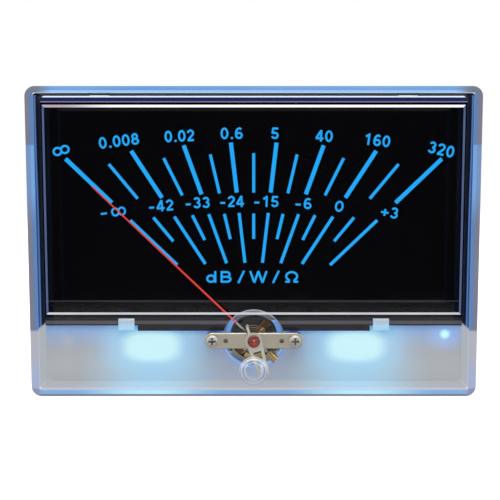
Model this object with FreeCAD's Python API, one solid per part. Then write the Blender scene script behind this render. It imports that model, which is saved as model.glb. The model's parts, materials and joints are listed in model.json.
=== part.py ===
"""Analog VU meter with a clear front cover and an open view of its moving-coil movement.

Millimetres. X runs to the right as seen from the front, the front looks along -Y, Z is up.
Y = 0 is the plane in which the meter seats on a panel, and the origin is the centre of that seat.
A turn about +Y is clockwise as seen from the front.
"""

import FreeCAD, Part
import math
import os

V = FreeCAD.Vector
TURN = V(0, 1, 0)
os.makedirs("parts", exist_ok=True)

# Fits, for every seat below
running_gap = 0.05
slip_gap = 0.15
press_gap = 0.02
loose_gap = 0.4

# Clear front cover
cover_width = 134.0
cover_height = 92.5
cover_depth = 16.0
cover_wall = 2.0
cover_front_wall = 2.0
cover_corner = 3.0
cover_edge_round = 1.0
window_side_margin = 6.0
window_top_margin = 6.3
window_bottom_margin = 25.85
window_rise = 0.8
hood_radius = 9.6
hood_wall = 1.0
hood_depth = 4.0
hood_half_angle = 72.0

# Snap hooks of the rear case in the top and bottom walls of the cover
snap_side_margin = 19.7
snap_width = 5.8
snap_height = 1.4
snap_rim = 1.1
snap_reach = 1.5

# Movement axis and zero adjuster
pivot_rise = 15.95
adjuster_drop = 8.0
adjuster_boss_radius = 4.35
adjuster_boss_rise = 0.6
adjuster_boss_round = 0.3
adjuster_head_radius = 3.8
adjuster_head_thickness = 0.65
adjuster_head_round = 0.25
adjuster_stem_radius = 3.0
adjuster_lip = 0.25
adjuster_throw = 2.45
adjuster_pin_radius = 0.5
adjuster_slot_width = 0.9
adjuster_slot_depth = 0.5
adjuster_ring_radius = 2.5
adjuster_ring_width = 0.3
adjuster_ring_depth = 0.25
adjuster_slot_angle = -35.0

# Dial, diffuser and white light box
dial_thickness = 0.8
dial_top_gap = 0.75
dial_over_pivot = 3.8
dial_tongue_drop = 1.7
dial_tongue_half_width = 36.0
notch_radius = 9.15
notch_rise = 5.55
panel_thickness = 1.7
diffuser_side_margin = 7.0
diffuser_rise = 7.5
diffuser_thickness = 1.5
clip_x = 39.4
clip_width = 4.9
clip_lap = 2.2
clip_thickness = 0.8
well_radius = 9.5
well_wall = 1.1
boss_height = 1.8
panel_corner = 1.0

# Rear case
flange_thickness = 3.0
tub_stud_gap = 3.5
tub_top_margin = 3.05
tub_bottom_margin = 3.25
tub_rear_room = 3.2
tub_wall = 1.8
tub_corner = 2.0
tub_edge_round = 1.0
rib_thickness = 1.0
rib_height = 0.6
rib_spacing = 11.5
rib_end_gap = 12.0
ribs_drop = 24.2
case_screw_side_gap = 4.7
case_screw_top_gap = 2.7
case_screw_bottom_gap = 5.7
case_screw_radius = 1.0
case_screw_length = 6.0
case_head_radius = 2.0
case_head_height = 1.3
case_column_wall = 0.9
case_boss_radius = 2.6
case_boss_height = 4.5
case_boss_margin = 0.3

# Mounting studs
stud_side_margin = 5.5
stud_end_margin = 5.65
stud_radius = 1.5
stud_length = 12.0
stud_collar_radius = 2.7
stud_shoulder_radius = 2.0
stud_shoulder_length = 1.0
stud_tip_bevel = 0.5

# Terminals
signal_lug_x = 9.0
lamp_lug_x = 24.0
lug_width = 2.8
lug_thickness = 0.8
lug_length = 7.0
lug_inside = 3.0
lug_eye_radius = 0.65
lug_shoulder = 1.2
lug_tip_share = 0.4

# Lamps
lamp_x = 29.5
lamp_drop = 2.0
lamp_board_width = 23.0
lamp_board_height = 7.5
lamp_board_thickness = 1.0
lamp_board_setback = 6.2
lamp_board_corner = 0.8
led_width = 3.5
led_height = 2.8
led_thickness = 0.9
led_pitch = 7.0
led_cup_radius = 1.05
led_cup_depth = 0.15
lamp_post_radius = 2.0
lamp_screw_radius = 0.8
lamp_screw_edge = 1.75
lamp_screw_grip = 3.0
lamp_head_radius = 1.5
lamp_head_height = 0.9

# Leads, bare stiff wire bent at right angles
lead_radius = 0.35
lead_bend = 1.2
link_lead_x = 19.5
link_lead_drop = 2.9
link_lead_rise = 5.8
frame_lead_drop = 8.2
frame_lead_turn = 1.5

# Magnet system
core_setback = 1.7
core_radius = 5.8
core_length = 7.8
yoke_wall = 1.45
web_half_angle = 26.0
web_setback = 0.6

# Moving coil
coil_gap = 0.35
coil_end_gap = 0.6
former_thickness = 0.25
former_half_width = 1.25
winding_thickness = 0.55
winding_half_width = 1.0
coil_yoke_gap = 0.4

# Movement frame
frame_half_width = 15.9
frame_half_height = 10.2
frame_thickness = 1.6
frame_corner = 3.0
collar_wall = 1.1
collar_length = 3.2
pillar_spacing = 25.3
pillar_radius = 1.9
frame_screw_x = 12.9
frame_screw_z = 7.4
frame_screw_radius = 0.8
frame_head_radius = 1.6
frame_head_height = 1.0

# Bridges and their screws
bridge_stand = 2.9
bridge_thickness = 1.5
bridge_height = 4.8
bridge_bevel = 0.2
spring_post_radius = 0.4
dimple_x = 8.55
dimple_radius = 0.7
dimple_depth = 0.5
bridge_screw_radius = 0.95
bridge_screw_length = 5.0
bridge_head_radius = 1.85
bridge_head_height = 1.2
rear_bridge_gap = 2.7

# Jewel screws and pivots
jewel_screw_radius = 1.2
jewel_head_radius = 1.87
jewel_head_thickness = 0.8
jewel_radius = 0.8
jewel_length = 0.8
jewel_reach = 1.9
jewel_slot_width = 0.5
jewel_slot_depth = 0.3
pivot_radius = 0.35
pivot_tip_radius = 0.08
pivot_cone = 0.35
pivot_foot_radius = 1.6
pivot_foot_thickness = 0.3
rear_pivot_length = 1.7
lock_nut_width = 4.2
lock_nut_height = 1.2
rear_jewel_tail = 2.6
rear_jewel_slot_depth = 0.8
rear_jewel_bevel = 0.3

# Zero lever
lever_thickness = 0.4
lever_ring_radius = 2.6
lever_prong_reach = 5.0
lever_prong_width = 0.75
lever_prong_x = -0.6
lever_tab_reach = 3.0
lever_tab_thickness = 0.35
lever_eye_width = 0.4
fork_reach = 11.3
fork_slot_half_width = 0.9
fork_slot_root = 3.4
fork_tine_width = 1.0
fork_root_half_width = 2.5
fork_closed_end = 1.0

# Hairsprings
spring_thickness = 0.12
spring_width = 0.4
spring_inner_radius = 1.2
spring_pitch = 0.65
spring_half_turns = 10
spring_tail = 0.2
collet_radius = 1.0
collet_length = 0.5
collet_gap = 0.15
collet_slit = 0.2

# Pointer
pointer_rest_angle = 46.25
pointer_top_margin = 8.05
pointer_root_width = 0.62
pointer_tip_width = 0.4
pointer_thickness = 0.35
pointer_stand = 2.4
pointer_tip_length = 1.2
hub_radius = 1.5
hub_flange_radius = 2.0
hub_flange_thickness = 0.3
hub_rise = 0.1
eye_radius = 2.2
tail_arm_width = 0.8
side_arm_width = 0.56
arm_end_gap = 0.3
tail_weight_start = 6.0
tail_weight_length = 3.4
tail_weight_radius = 1.3
side_arm_reach = 4.6
side_weight_length = 1.4
side_weight_radius = 0.55
swing_below_rest = 2.0
swing_above_rest = 94.0
stop_radius = 8.05
stop_pin_radius = 0.4
stop_margin = 0.15
stop_pin_rise = 0.5

# Places that follow from the sizes above: the cover and the movement axis
cover_front = -cover_depth
cavity_front = cover_front + cover_front_wall
cavity_half_width = cover_width / 2 - cover_wall
cavity_half_height = cover_height / 2 - cover_wall
cavity_corner = max(cover_corner - cover_wall, 0.5)
window_half_width = cover_width / 2 - window_side_margin
window_top = cover_height / 2 - window_top_margin
window_bottom = window_bottom_margin - cover_height / 2
snap_x = cover_width / 2 - snap_side_margin
pivot_z = pivot_rise - cover_height / 2
adjuster_z = pivot_z - adjuster_drop

# From the seat plane to the front: flange, panel, dial, pointer, lever and bridge
panel_back = -flange_thickness
dial_back = panel_back - panel_thickness
dial_front = dial_back - dial_thickness
dial_bottom = pivot_z + dial_over_pivot
dial_tongue_bottom = dial_bottom - dial_tongue_drop
clip_top = dial_bottom + clip_lap
boss_back = panel_back + boss_height
pointer_reach = cover_height / 2 - pivot_z - pointer_top_margin
needle_front = dial_front - pointer_stand
needle_back = needle_front + pointer_thickness
bridge_front = needle_front - bridge_stand
bridge_back = bridge_front + bridge_thickness
jewel_end = bridge_front + jewel_reach
lever_back = bridge_front - running_gap
lever_front = lever_back - lever_thickness
lever_rest_angle = math.degrees(math.atan2(adjuster_throw, adjuster_drop))
spring_outer_radius = spring_inner_radius + spring_half_turns * spring_pitch / 2

# Magnet, coil and rear bridge
core_front = dial_back + core_setback
core_back = core_front + core_length
former_inner = core_radius + coil_gap
former_outer = former_inner + former_thickness
winding_outer = former_outer + winding_thickness
yoke_inner = winding_outer + coil_yoke_gap
yoke_outer = yoke_inner + yoke_wall
winding_front = core_front - coil_end_gap - former_thickness - winding_thickness
winding_back = core_back + coil_end_gap + former_thickness + winding_thickness
rear_pivot_end = winding_back + rear_pivot_length
rear_bridge_front = winding_back + rear_bridge_gap
rear_bridge_back = rear_bridge_front + bridge_thickness

# Rear case, with its screws, studs, terminals and leads
stud_x = cover_width / 2 - stud_side_margin
stud_z = cover_height / 2 - stud_end_margin
tub_half_width = stud_x - tub_stud_gap
tub_top = cover_height / 2 - tub_top_margin
tub_bottom = tub_bottom_margin - cover_height / 2
tub_floor = rear_bridge_back + rear_jewel_tail + tub_rear_room
tub_depth = tub_floor + tub_wall
tub_inner_half_width = tub_half_width - tub_wall
tub_inner_top = tub_top - tub_wall
tub_inner_bottom = tub_bottom + tub_wall
ribs_middle_z = tub_top - ribs_drop
case_screw_x = tub_inner_half_width - case_screw_side_gap
case_screw_top_z = tub_inner_top - case_screw_top_gap
case_screw_bottom_z = tub_inner_bottom + case_screw_bottom_gap
case_well_radius = case_head_radius + loose_gap
diffuser_half_width = cavity_half_width - diffuser_side_margin
diffuser_bottom = dial_bottom + diffuser_rise
diffuser_top = case_screw_top_z - case_boss_radius - case_boss_margin
lamp_z = pivot_z - lamp_drop
lamp_board_back = panel_back + lamp_board_setback
terminal_end = tub_floor - lug_inside
link_lead_z = lamp_z - link_lead_drop
link_lead_back = lamp_board_back + link_lead_rise
frame_lead_z = pivot_z - frame_lead_drop
frame_lead_back = terminal_end - frame_lead_turn


def block(x0, x1, y0, y1, z0, z1, corner=0.0):
    """A box between two corners, with its edges along Y rounded by corner."""
    body = Part.makeBox(x1 - x0, y1 - y0, z1 - z0, V(x0, y0, z0))
    if corner > 0:
        upright = [e for e in body.Edges if abs(e.tangentAt(e.FirstParameter).y) > 0.9]
        body = body.makeFillet(corner, upright)
    return body


def rod(radius, y0, y1, x=0.0, z=0.0):
    """A cylinder along Y."""
    return Part.makeCylinder(radius, y1 - y0, V(x, y0, z), TURN)


def tube(outer, inner, y0, y1, x=0.0, z=0.0):
    """A ring along Y."""
    return rod(outer, y0, y1, x, z).cut(rod(inner, y0, y1, x, z))


def turned(profile, x=0.0, z=0.0):
    """A solid turned about the Y axis through x, z from (radius, y) points."""
    points = [V(x + radius, y, z) for radius, y in profile]
    outline = Part.makePolygon(points + [points[0]])
    return Part.Face(outline).revolve(V(x, 0, z), TURN, 360)


def prism(outline, y0, y1):
    """A plate between y0 and y1 with an outline of (x, z) points."""
    points = [V(x, y0, z) for x, z in outline]
    return Part.Face(Part.makePolygon(points + [points[0]])).extrude(V(0, y1 - y0, 0))


def stadium(length, height, y0, y1, x=0.0, z=0.0):
    """A bar along X with full round ends."""
    half = length / 2
    return block(x - half, x + half, y0, y1, z - height / 2, z + height / 2, height / 2 * 0.999)


def sector(outer, inner, y0, y1, middle, half_angle, z=0.0):
    """A piece of a ring about the point (0, z), its middle at an angle from +X towards +Z."""
    ring = tube(outer, inner, y0, y1, 0, z)
    reach = outer * 2 / math.cos(math.radians(half_angle))
    sides = [math.radians(middle - half_angle), math.radians(middle + half_angle)]
    corners = [(0, z)] + [(reach * math.cos(a), z + reach * math.sin(a)) for a in sides]
    return ring.common(prism(corners, y0, y1))


def fused(first, *others):
    """One solid of several, without the seams between coplanar faces."""
    return first.fuse(list(others)).removeSplitter()


def cut(body, *tools):
    """A body less its tools."""
    return body.cut(list(tools))


def about_pivot(shape, angle):
    """A copy turned clockwise about the movement axis, in degrees."""
    turned_copy = shape.copy()
    turned_copy.rotate(V(0, 0, pivot_z), TURN, angle)
    return turned_copy


def save(name, *solids):
    """Write one node, as one solid or as a group of separate solids."""
    shape = solids[0] if len(solids) == 1 else Part.makeCompound(list(solids))
    shape.exportStep("parts/" + name + ".step")


def corners_of(x, z_low, z_high):
    """Four places, mirrored about the centre plane."""
    return [(-x, z_low), (x, z_low), (-x, z_high), (x, z_high)]


def screw_blank(shank_radius, shank_length, head_radius, head_height, seat, x, z, towards):
    """A headed screw without its recess. Its head stands on the seat plane, out towards -Y or +Y."""
    top = seat + towards * head_height
    profile = [
        (0, seat - towards * shank_length),
        (shank_radius, seat - towards * shank_length),
        (shank_radius, seat),
        (head_radius, seat),
        (head_radius, seat + towards * head_height * 0.5),
        (head_radius * 0.7, top),
        (0, top),
    ]
    return turned(profile, x, z)


def cross_screw(shank_radius, shank_length, head_radius, head_height, seat, x, z, towards):
    """A screw with a cross recess."""
    screw = screw_blank(shank_radius, shank_length, head_radius, head_height, seat, x, z, towards)
    low, high = sorted((seat + towards * head_height, seat + towards * head_height * 0.4))
    arm = head_radius * 0.62
    thin = head_radius * 0.15
    recess = fused(
        block(x - arm, x + arm, low, high, z - thin, z + thin),
        block(x - thin, x + thin, low, high, z - arm, z + arm),
    )
    return cut(screw, recess)


def slotted_screw(shank_radius, shank_length, head_radius, head_height, seat, x, z, towards):
    """A screw with one straight slot across its head."""
    screw = screw_blank(shank_radius, shank_length, head_radius, head_height, seat, x, z, towards)
    low, high = sorted((seat + towards * head_height, seat + towards * head_height * 0.5))
    thin = head_radius * 0.15
    return cut(screw, block(x - head_radius, x + head_radius, low, high, z - thin, z + thin))


def bent_wire(points, radius, bend):
    """A round wire along straight runs that meet at right angles, with a bend of one radius."""
    edges = []
    start = points[0]
    for before, corner, after in zip(points, points[1:], points[2:]):
        into = (corner - before).normalize()
        away = (after - corner).normalize()
        first = corner - into * bend
        last = corner + away * bend
        middle = corner + (away - into) * bend * (1 - math.sqrt(0.5))
        edges.append(Part.LineSegment(start, first).toShape())
        edges.append(Part.Arc(first, middle, last).toShape())
        start = last
    edges.append(Part.LineSegment(start, points[-1]).toShape())
    section = Part.Wire(Part.makeCircle(radius, points[0], points[1] - points[0]))
    return Part.Wire(edges).makePipeShell([section], True, False)


def spiral(inner_radius, pitch, half_turns, y, thickness, width, tail):
    """A flat spiral ribbon about the movement axis, in half circles about two centres.

    It ends above the axis, heading for -X, with a straight tail.
    """
    step = pitch / 2
    edges = []
    for i in range(half_turns):
        radius = inner_radius + i * step
        centre_z = pivot_z + (0 if i % 2 == 0 else step)
        up = 1 if i % 2 == 0 else -1
        start = V(0, y, centre_z + up * radius)
        side = V(-up * radius, y, centre_z)
        end = V(0, y, centre_z - up * radius)
        edges.append(Part.Arc(start, side, end).toShape())
    last = edges[-1].Vertexes[-1].Point
    edges.append(Part.LineSegment(last, last + V(-tail, 0, 0)).toShape())
    path = Part.Wire(edges)
    start_z = pivot_z + inner_radius
    corners = [
        V(0, y - width / 2, start_z - thickness / 2), V(0, y + width / 2, start_z - thickness / 2),
        V(0, y + width / 2, start_z + thickness / 2), V(0, y - width / 2, start_z + thickness / 2),
    ]
    section = Part.makePolygon(corners + [corners[0]])
    return path.makePipeShell([section], True, False)


def least_gap(inner_radius, pitch, half_turns, thickness):
    """The least gap between neighbouring turns of a spiral, measured on points of its path."""
    step = pitch / 2
    points = []
    for i in range(half_turns):
        radius = inner_radius + i * step
        centre = 0 if i % 2 == 0 else step
        for k in range(24):
            angle = math.pi * (i + k / 24)
            point = (-radius * math.sin(angle), centre + radius * math.cos(angle))
            points.append(point)
    turn = 48
    gaps = [
        math.dist(points[i], points[j])
        for i in range(len(points))
        for j in range(i + turn // 2, len(points))
    ]
    return min(gaps) - thickness


# Clear front cover
def front_cover():
    half_width = cover_width / 2
    half_height = cover_height / 2
    shell = block(-half_width, half_width, cover_front, 0, -half_height, half_height, cover_corner)
    front_edges = [e for e in shell.Edges if e.BoundBox.YMax < cover_front + 0.01]
    shell = shell.makeFillet(cover_edge_round, front_edges)
    foot = window_rise
    pane = Part.makeLoft(
        [
            rectangle(
                -window_half_width - grow, window_half_width + grow,
                window_bottom - grow, window_top + grow, y
            )
            for grow, y in ((foot, cover_front), (0, cover_front - window_rise))
        ],
        True,
        True,
    )
    boss = rod(adjuster_boss_radius, cover_front - adjuster_boss_rise, cover_front, 0, adjuster_z)
    boss_edge = [e for e in boss.Edges if e.BoundBox.YMax < cover_front - adjuster_boss_rise + 0.01]
    boss = boss.makeFillet(adjuster_boss_round, boss_edge)
    shell = fused(shell, pane, boss)
    cavity = block(
        -cavity_half_width, cavity_half_width, cavity_front, 0,
        -cavity_half_height, cavity_half_height, cavity_corner
    )
    head_room = rod(
        adjuster_head_radius + running_gap,
        cover_front - adjuster_boss_rise,
        cover_front - adjuster_boss_rise + adjuster_head_thickness + running_gap,
        0, adjuster_z
    )
    stem_hole = rod(
        adjuster_stem_radius + running_gap, cover_front - adjuster_boss_rise, 0, 0, adjuster_z
    )
    shell = cut(shell, cavity, head_room, stem_hole)
    hood = sector(
        hood_radius, hood_radius - hood_wall, cavity_front, cavity_front + hood_depth,
        90, hood_half_angle, pivot_z
    )
    shell = fused(shell, hood)
    return cut(shell, *[snap_window(x, side) for x in (-snap_x, snap_x) for side in (-1, 1)])


def rectangle(x0, x1, z0, z1, y):
    """A closed outline in the plane Y = y."""
    corners = [V(x0, y, z0), V(x1, y, z0), V(x1, y, z1), V(x0, y, z1)]
    return Part.makePolygon(corners + [corners[0]])


def snap_window(x, side):
    """The opening for one snap hook, through the top or bottom wall of the cover."""
    half = snap_width / 2 + slip_gap
    low, high = sorted((side * (cavity_half_height - 0.5), side * (cover_height / 2 + 0.5)))
    front = -snap_rim - snap_height - slip_gap
    return block(x - half, x + half, front, -snap_rim + slip_gap, low, high)


# Zero adjuster: a clear screw whose crank pin moves the fork of the zero lever
def zero_adjuster():
    head_front = cover_front - adjuster_boss_rise
    head_back = head_front + adjuster_head_thickness
    lip_front = cavity_front + running_gap
    lip_back = lip_front + adjuster_lip * 2
    profile = [
        (0, head_front),
        (adjuster_head_radius - adjuster_head_round, head_front),
        (adjuster_head_radius, head_front + adjuster_head_round),
        (adjuster_head_radius, head_back),
        (adjuster_stem_radius, head_back),
        (adjuster_stem_radius, lip_front),
        (adjuster_stem_radius + adjuster_lip, lip_front),
        (adjuster_stem_radius, lip_back),
        (0, lip_back),
    ]
    screw = turned(profile, 0, adjuster_z)
    pin = rod(adjuster_pin_radius, lip_back, lever_back, adjuster_throw, adjuster_z)
    slot = block(
        -adjuster_slot_width / 2, adjuster_slot_width / 2, head_front,
        head_front + adjuster_slot_depth, adjuster_z - adjuster_head_radius * 2,
        adjuster_z + adjuster_head_radius * 2
    )
    slot = slot.common(rod(adjuster_ring_radius, head_front, cavity_front, 0, adjuster_z))
    slot.rotate(V(0, 0, adjuster_z), TURN, adjuster_slot_angle)
    dish = tube(
        adjuster_ring_radius + adjuster_ring_width, adjuster_ring_radius, head_front,
        head_front + adjuster_ring_depth, 0, adjuster_z
    )
    return cut(fused(screw, pin), slot, dish)


# Dial: a black plate with a tongue at its foot and a notch for the movement
def dial_plate():
    half_width = cavity_half_width - loose_gap
    top = cavity_half_height - dial_top_gap
    plate = fused(
        block(-half_width, half_width, dial_front, dial_back, dial_bottom, top),
        block(
            -dial_tongue_half_width, dial_tongue_half_width, dial_front, dial_back,
            dial_tongue_bottom, top
        ),
    )
    notch = rod(notch_radius, dial_front, dial_back, 0, pivot_z)
    ceiling = block(
        -notch_radius, notch_radius, dial_front, dial_back,
        pivot_z + notch_rise, pivot_z + notch_radius
    )
    return cut(plate, cut(notch, ceiling))


def diffuser():
    return block(
        -diffuser_half_width, diffuser_half_width, dial_back, dial_back + diffuser_thickness,
        diffuser_bottom, diffuser_top
    )


# White light box: the lower front panel, the frame round the diffuser, the well and the dial clips
def light_box():
    half_width = cavity_half_width - loose_gap
    half_height = cavity_half_height - loose_gap
    panel = block(
        -half_width, half_width, dial_back, panel_back, -half_height, half_height, panel_corner
    )
    opening = block(
        -diffuser_half_width - slip_gap, diffuser_half_width + slip_gap, dial_back, panel_back,
        diffuser_bottom - slip_gap, diffuser_top + slip_gap
    )
    well_tube = rod(well_radius + well_wall, panel_back, boss_back, 0, pivot_z)
    bosses = [
        rod(pillar_radius, panel_back, boss_back, x, pivot_z + z)
        for x, z in corners_of(frame_screw_x, -frame_screw_z, frame_screw_z)
    ]
    case_bosses = [
        rod(case_boss_radius, panel_back, panel_back + case_boss_height, x, z)
        for x, z in case_screw_places()
    ]
    body = fused(panel, well_tube, *bosses, *case_bosses)
    holes = [rod(well_radius, dial_back, boss_back, 0, pivot_z), opening]
    for x in (-pillar_spacing / 2, pillar_spacing / 2):
        holes.append(rod(pillar_radius + slip_gap, dial_back, boss_back, x, pivot_z))
    for x, z in corners_of(frame_screw_x, -frame_screw_z, frame_screw_z):
        depth = frame_screw_depth() + slip_gap
        holes.append(
            rod(frame_screw_radius + press_gap, boss_back - depth, boss_back, x, pivot_z + z)
        )
    for x, z in case_screw_places():
        back = panel_back + case_boss_height
        front = back - case_screw_grip() - slip_gap
        holes.append(rod(case_screw_radius + press_gap, front, back, x, z))
    body = cut(body, *holes)
    return fused(body, dial_clip(-clip_x), dial_clip(clip_x))


def frame_screw_depth():
    """How far the screws of the movement frame reach into the light box."""
    return boss_height + panel_thickness * 0.5


def case_screw_places():
    return corners_of(case_screw_x, case_screw_bottom_z, case_screw_top_z)


def case_screw_grip():
    """How far the case screws reach into the bosses of the light box."""
    return case_boss_height - 0.5


def dial_clip(x):
    """A hook that stands on the panel below the dial and laps over the dial's bottom edge."""
    half = clip_width / 2
    lap_back = dial_front - running_gap
    lap_front = lap_back - clip_thickness
    root_top = dial_bottom - running_gap
    root_bottom = root_top - clip_thickness * 1.6
    root = block(x - half, x + half, lap_front, dial_back, root_bottom, root_top)
    lap = block(x - half, x + half, lap_front, lap_back, root_bottom, clip_top)
    front_edges = [e for e in lap.Edges if e.BoundBox.YMax < lap_front + 0.01]
    lead = [e for e in front_edges if e.BoundBox.ZMin > clip_top - 0.01]
    return fused(root, lap.makeChamfer(clip_thickness * 0.5, lead))


# Rear case: the tub behind the panel and the flange inside the cover
def rear_case():
    half_width = cavity_half_width - slip_gap
    half_height = cavity_half_height - slip_gap
    flange = block(-half_width, half_width, panel_back, 0, -half_height, half_height, cavity_corner)
    tub = block(
        -tub_half_width, tub_half_width, panel_back, tub_depth, tub_bottom, tub_top, tub_corner
    )
    back_edges = [e for e in tub.Edges if e.BoundBox.YMin > tub_depth - 0.01]
    tub = tub.makeFillet(tub_edge_round, back_edges)
    hooks = [snap_hook(x, side) for x in (-snap_x, snap_x) for side in (-1, 1)]
    body = fused(flange, tub, *hooks)
    inside = block(
        -tub_inner_half_width, tub_inner_half_width, panel_back, tub_floor,
        tub_inner_bottom, tub_inner_top, tub_corner / 2
    )
    body = cut(body, inside)
    columns = [
        rod(
            case_well_radius + case_column_wall, panel_back + case_boss_height + press_gap,
            (tub_floor + tub_depth) / 2, x, z
        )
        for x, z in case_screw_places()
    ]
    posts = [
        rod(lamp_post_radius, lamp_board_back, (tub_floor + tub_depth) / 2, x, lamp_z)
        for x in lamp_screw_xs()
    ]
    ribs = []
    rib_reach = tub_half_width - rib_end_gap
    for step in (-1, 0, 1):
        z = ribs_middle_z + step * rib_spacing
        ribs.append(
            block(
                -rib_reach, rib_reach, tub_floor, tub_depth + rib_height,
                z - rib_thickness / 2, z + rib_thickness / 2
            )
        )
    body = fused(body, *columns, *posts, *ribs)
    holes = []
    for x, z in case_screw_places():
        holes.append(rod(case_well_radius, case_head_seat(), tub_depth + rib_height, x, z))
        holes.append(rod(case_screw_radius + slip_gap, panel_back, tub_depth, x, z))
    for x in lamp_screw_xs():
        end = lamp_board_back + lamp_screw_grip + slip_gap
        holes.append(rod(lamp_screw_radius + press_gap, lamp_board_back, end, x, lamp_z))
    for x, z in stud_places():
        holes.append(rod(stud_shoulder_radius + press_gap, panel_back, 0, x, z))
        holes.append(
            rod(stud_collar_radius + press_gap, panel_back, -stud_shoulder_length, x, z)
        )
    for x in lug_xs():
        half = lug_width / 2 + press_gap
        deep = lug_thickness / 2 + press_gap
        holes.append(block(x - half, x + half, tub_floor, tub_depth, pivot_z - deep, pivot_z + deep))
    return cut(body, *holes)


def snap_hook(x, side):
    """A wedge on the edge of the flange that catches in the window of the cover."""
    half = snap_width / 2
    root = cavity_half_height - 1.0
    face = cavity_half_height + snap_reach
    start = cavity_half_height - slip_gap
    back = -snap_rim
    front = back - snap_height
    outline = [(front, root), (front, start), (back - 0.4, face), (back, face), (back, root)]
    points = [V(x - half, y, side * z) for y, z in outline]
    return Part.Face(Part.makePolygon(points + [points[0]])).extrude(V(snap_width, 0, 0))


def case_head_seat():
    """The floor under the heads of the case screws, at the foot of the columns."""
    return panel_back + case_boss_height + press_gap + (case_screw_length - case_screw_grip())


def lamp_screw_xs():
    inner = lamp_board_width / 2 - lamp_screw_edge
    return [side * lamp_x + step * inner for side in (-1, 1) for step in (-1, 1)]


def stud_places():
    return corners_of(stud_x, -stud_z, stud_z)


def lug_xs():
    return [-lamp_lug_x, -signal_lug_x, signal_lug_x, lamp_lug_x]


def mounting_stud(x, z):
    """A threaded stud with a collar and a shoulder pressed into the flange from the front."""
    profile = [
        (0, panel_back + press_gap),
        (stud_collar_radius, panel_back + press_gap),
        (stud_collar_radius, -stud_shoulder_length),
        (stud_shoulder_radius, -stud_shoulder_length),
        (stud_shoulder_radius, 0),
        (stud_radius, 0),
        (stud_radius, stud_length - stud_tip_bevel),
        (stud_radius - stud_tip_bevel, stud_length),
        (0, stud_length),
    ]
    return turned(profile, x, z)


def case_screw(x, z):
    return cross_screw(
        case_screw_radius, case_screw_length, case_head_radius, case_head_height,
        case_head_seat(), x, z, 1
    )


def terminal_lug(x):
    """A flat solder lug through the rear wall, with a shoulder inside and an eye outside."""
    half = lug_width / 2
    tip = tub_depth + lug_length
    narrow = half * lug_tip_share
    wide = half + lug_shoulder
    shoulder_start = tub_floor - lug_shoulder
    outline = [
        (half, tub_floor), (half, tip - half), (narrow, tip), (-narrow, tip), (-half, tip - half),
        (-half, tub_floor), (-wide, tub_floor), (-wide, shoulder_start), (-half, shoulder_start),
        (-half, terminal_end), (half, terminal_end), (half, shoulder_start),
        (wide, shoulder_start), (wide, tub_floor),
    ]
    under = pivot_z - lug_thickness / 2
    points = [V(x + across, along, under) for across, along in outline]
    blank = Part.Face(Part.makePolygon(points + [points[0]])).extrude(V(0, 0, lug_thickness))
    eye = Part.makeCylinder(lug_eye_radius, lug_thickness, V(x, tip - half, under))
    return cut(blank, eye)


# Lamps
def lamp_board(x):
    half = lamp_board_width / 2
    front = lamp_board_back - lamp_board_thickness
    board = block(x - half, x + half, front, lamp_board_back,
                  lamp_z - lamp_board_height / 2, lamp_z + lamp_board_height / 2,
                  lamp_board_corner)
    holes = [
        rod(lamp_screw_radius + slip_gap, front, lamp_board_back, hole_x, lamp_z)
        for hole_x in lamp_screw_xs() if abs(hole_x - x) < half
    ]
    return cut(board, *holes)


def led(x):
    """A surface-mount lamp: a body with a shallow cup."""
    back = lamp_board_back - lamp_board_thickness
    front = back - led_thickness
    body = block(x - led_width / 2, x + led_width / 2, front, back,
                 lamp_z - led_height / 2, lamp_z + led_height / 2)
    cup = rod(led_cup_radius, front, front + led_cup_depth, x, lamp_z)
    return cut(body, cup)


# Leads
def lamp_leads():
    """A straight lead from each lamp terminal to its board, and a link between the boards."""
    straight = [
        rod(lead_radius, lamp_board_back, terminal_end, x, pivot_z) for x in (-lamp_lug_x, lamp_lug_x)
    ]
    x = link_lead_x
    z = link_lead_z
    route = [V(x, lamp_board_back, z), V(x, link_lead_back, z), V(-x, link_lead_back, z),
             V(-x, lamp_board_back, z)]
    return straight + [bent_wire(route, lead_radius, lead_bend)]


def signal_leads():
    """One lead to the rear bridge, for the rear hairspring, and one to the movement frame."""
    to_bridge = rod(lead_radius, rear_bridge_back, terminal_end, signal_lug_x, pivot_z)
    x = -signal_lug_x
    route = [V(x, terminal_end, pivot_z), V(x, frame_lead_back, pivot_z),
             V(x, frame_lead_back, frame_lead_z), V(x, boss_back + frame_thickness, frame_lead_z)]
    return [to_bridge, bent_wire(route, lead_radius, lead_bend)]


# Magnet system
def movement_frame():
    back = boss_back + frame_thickness
    plate = block(-frame_half_width, frame_half_width, boss_back, back,
                  pivot_z - frame_half_height, pivot_z + frame_half_height, frame_corner)
    collar = rod(yoke_outer + collar_wall, boss_back, back + collar_length, 0, pivot_z)
    pillars = [
        rod(pillar_radius, bridge_back, rear_bridge_front, x, pivot_z)
        for x in (-pillar_spacing / 2, pillar_spacing / 2)
    ]
    body = fused(plate, collar, *pillars)
    holes = [rod(yoke_outer + press_gap, boss_back, back + collar_length, 0, pivot_z)]
    for x in (-pillar_spacing / 2, pillar_spacing / 2):
        grip = bridge_screw_length - bridge_thickness + slip_gap
        bore = bridge_screw_radius + press_gap
        holes.append(rod(bore, bridge_back, bridge_back + grip, x, pivot_z))
        holes.append(rod(bore, rear_bridge_front - grip, rear_bridge_front, x, pivot_z))
    for x, z in corners_of(frame_screw_x, -frame_screw_z, frame_screw_z):
        holes.append(rod(frame_screw_radius + slip_gap, boss_back, back, x, pivot_z + z))
    return cut(body, *holes)


def frame_screw(x, z):
    seat = boss_back + frame_thickness
    length = frame_thickness + frame_screw_depth()
    return slotted_screw(
        frame_screw_radius, length, frame_head_radius, frame_head_height, seat, x, pivot_z + z, 1
    )


def core_web(middle):
    """A web that holds the core in the yoke, where the coil never passes."""
    return sector(
        yoke_inner - press_gap, core_radius + press_gap,
        core_front + web_setback, core_back - web_setback, middle, web_half_angle, pivot_z
    )


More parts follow.
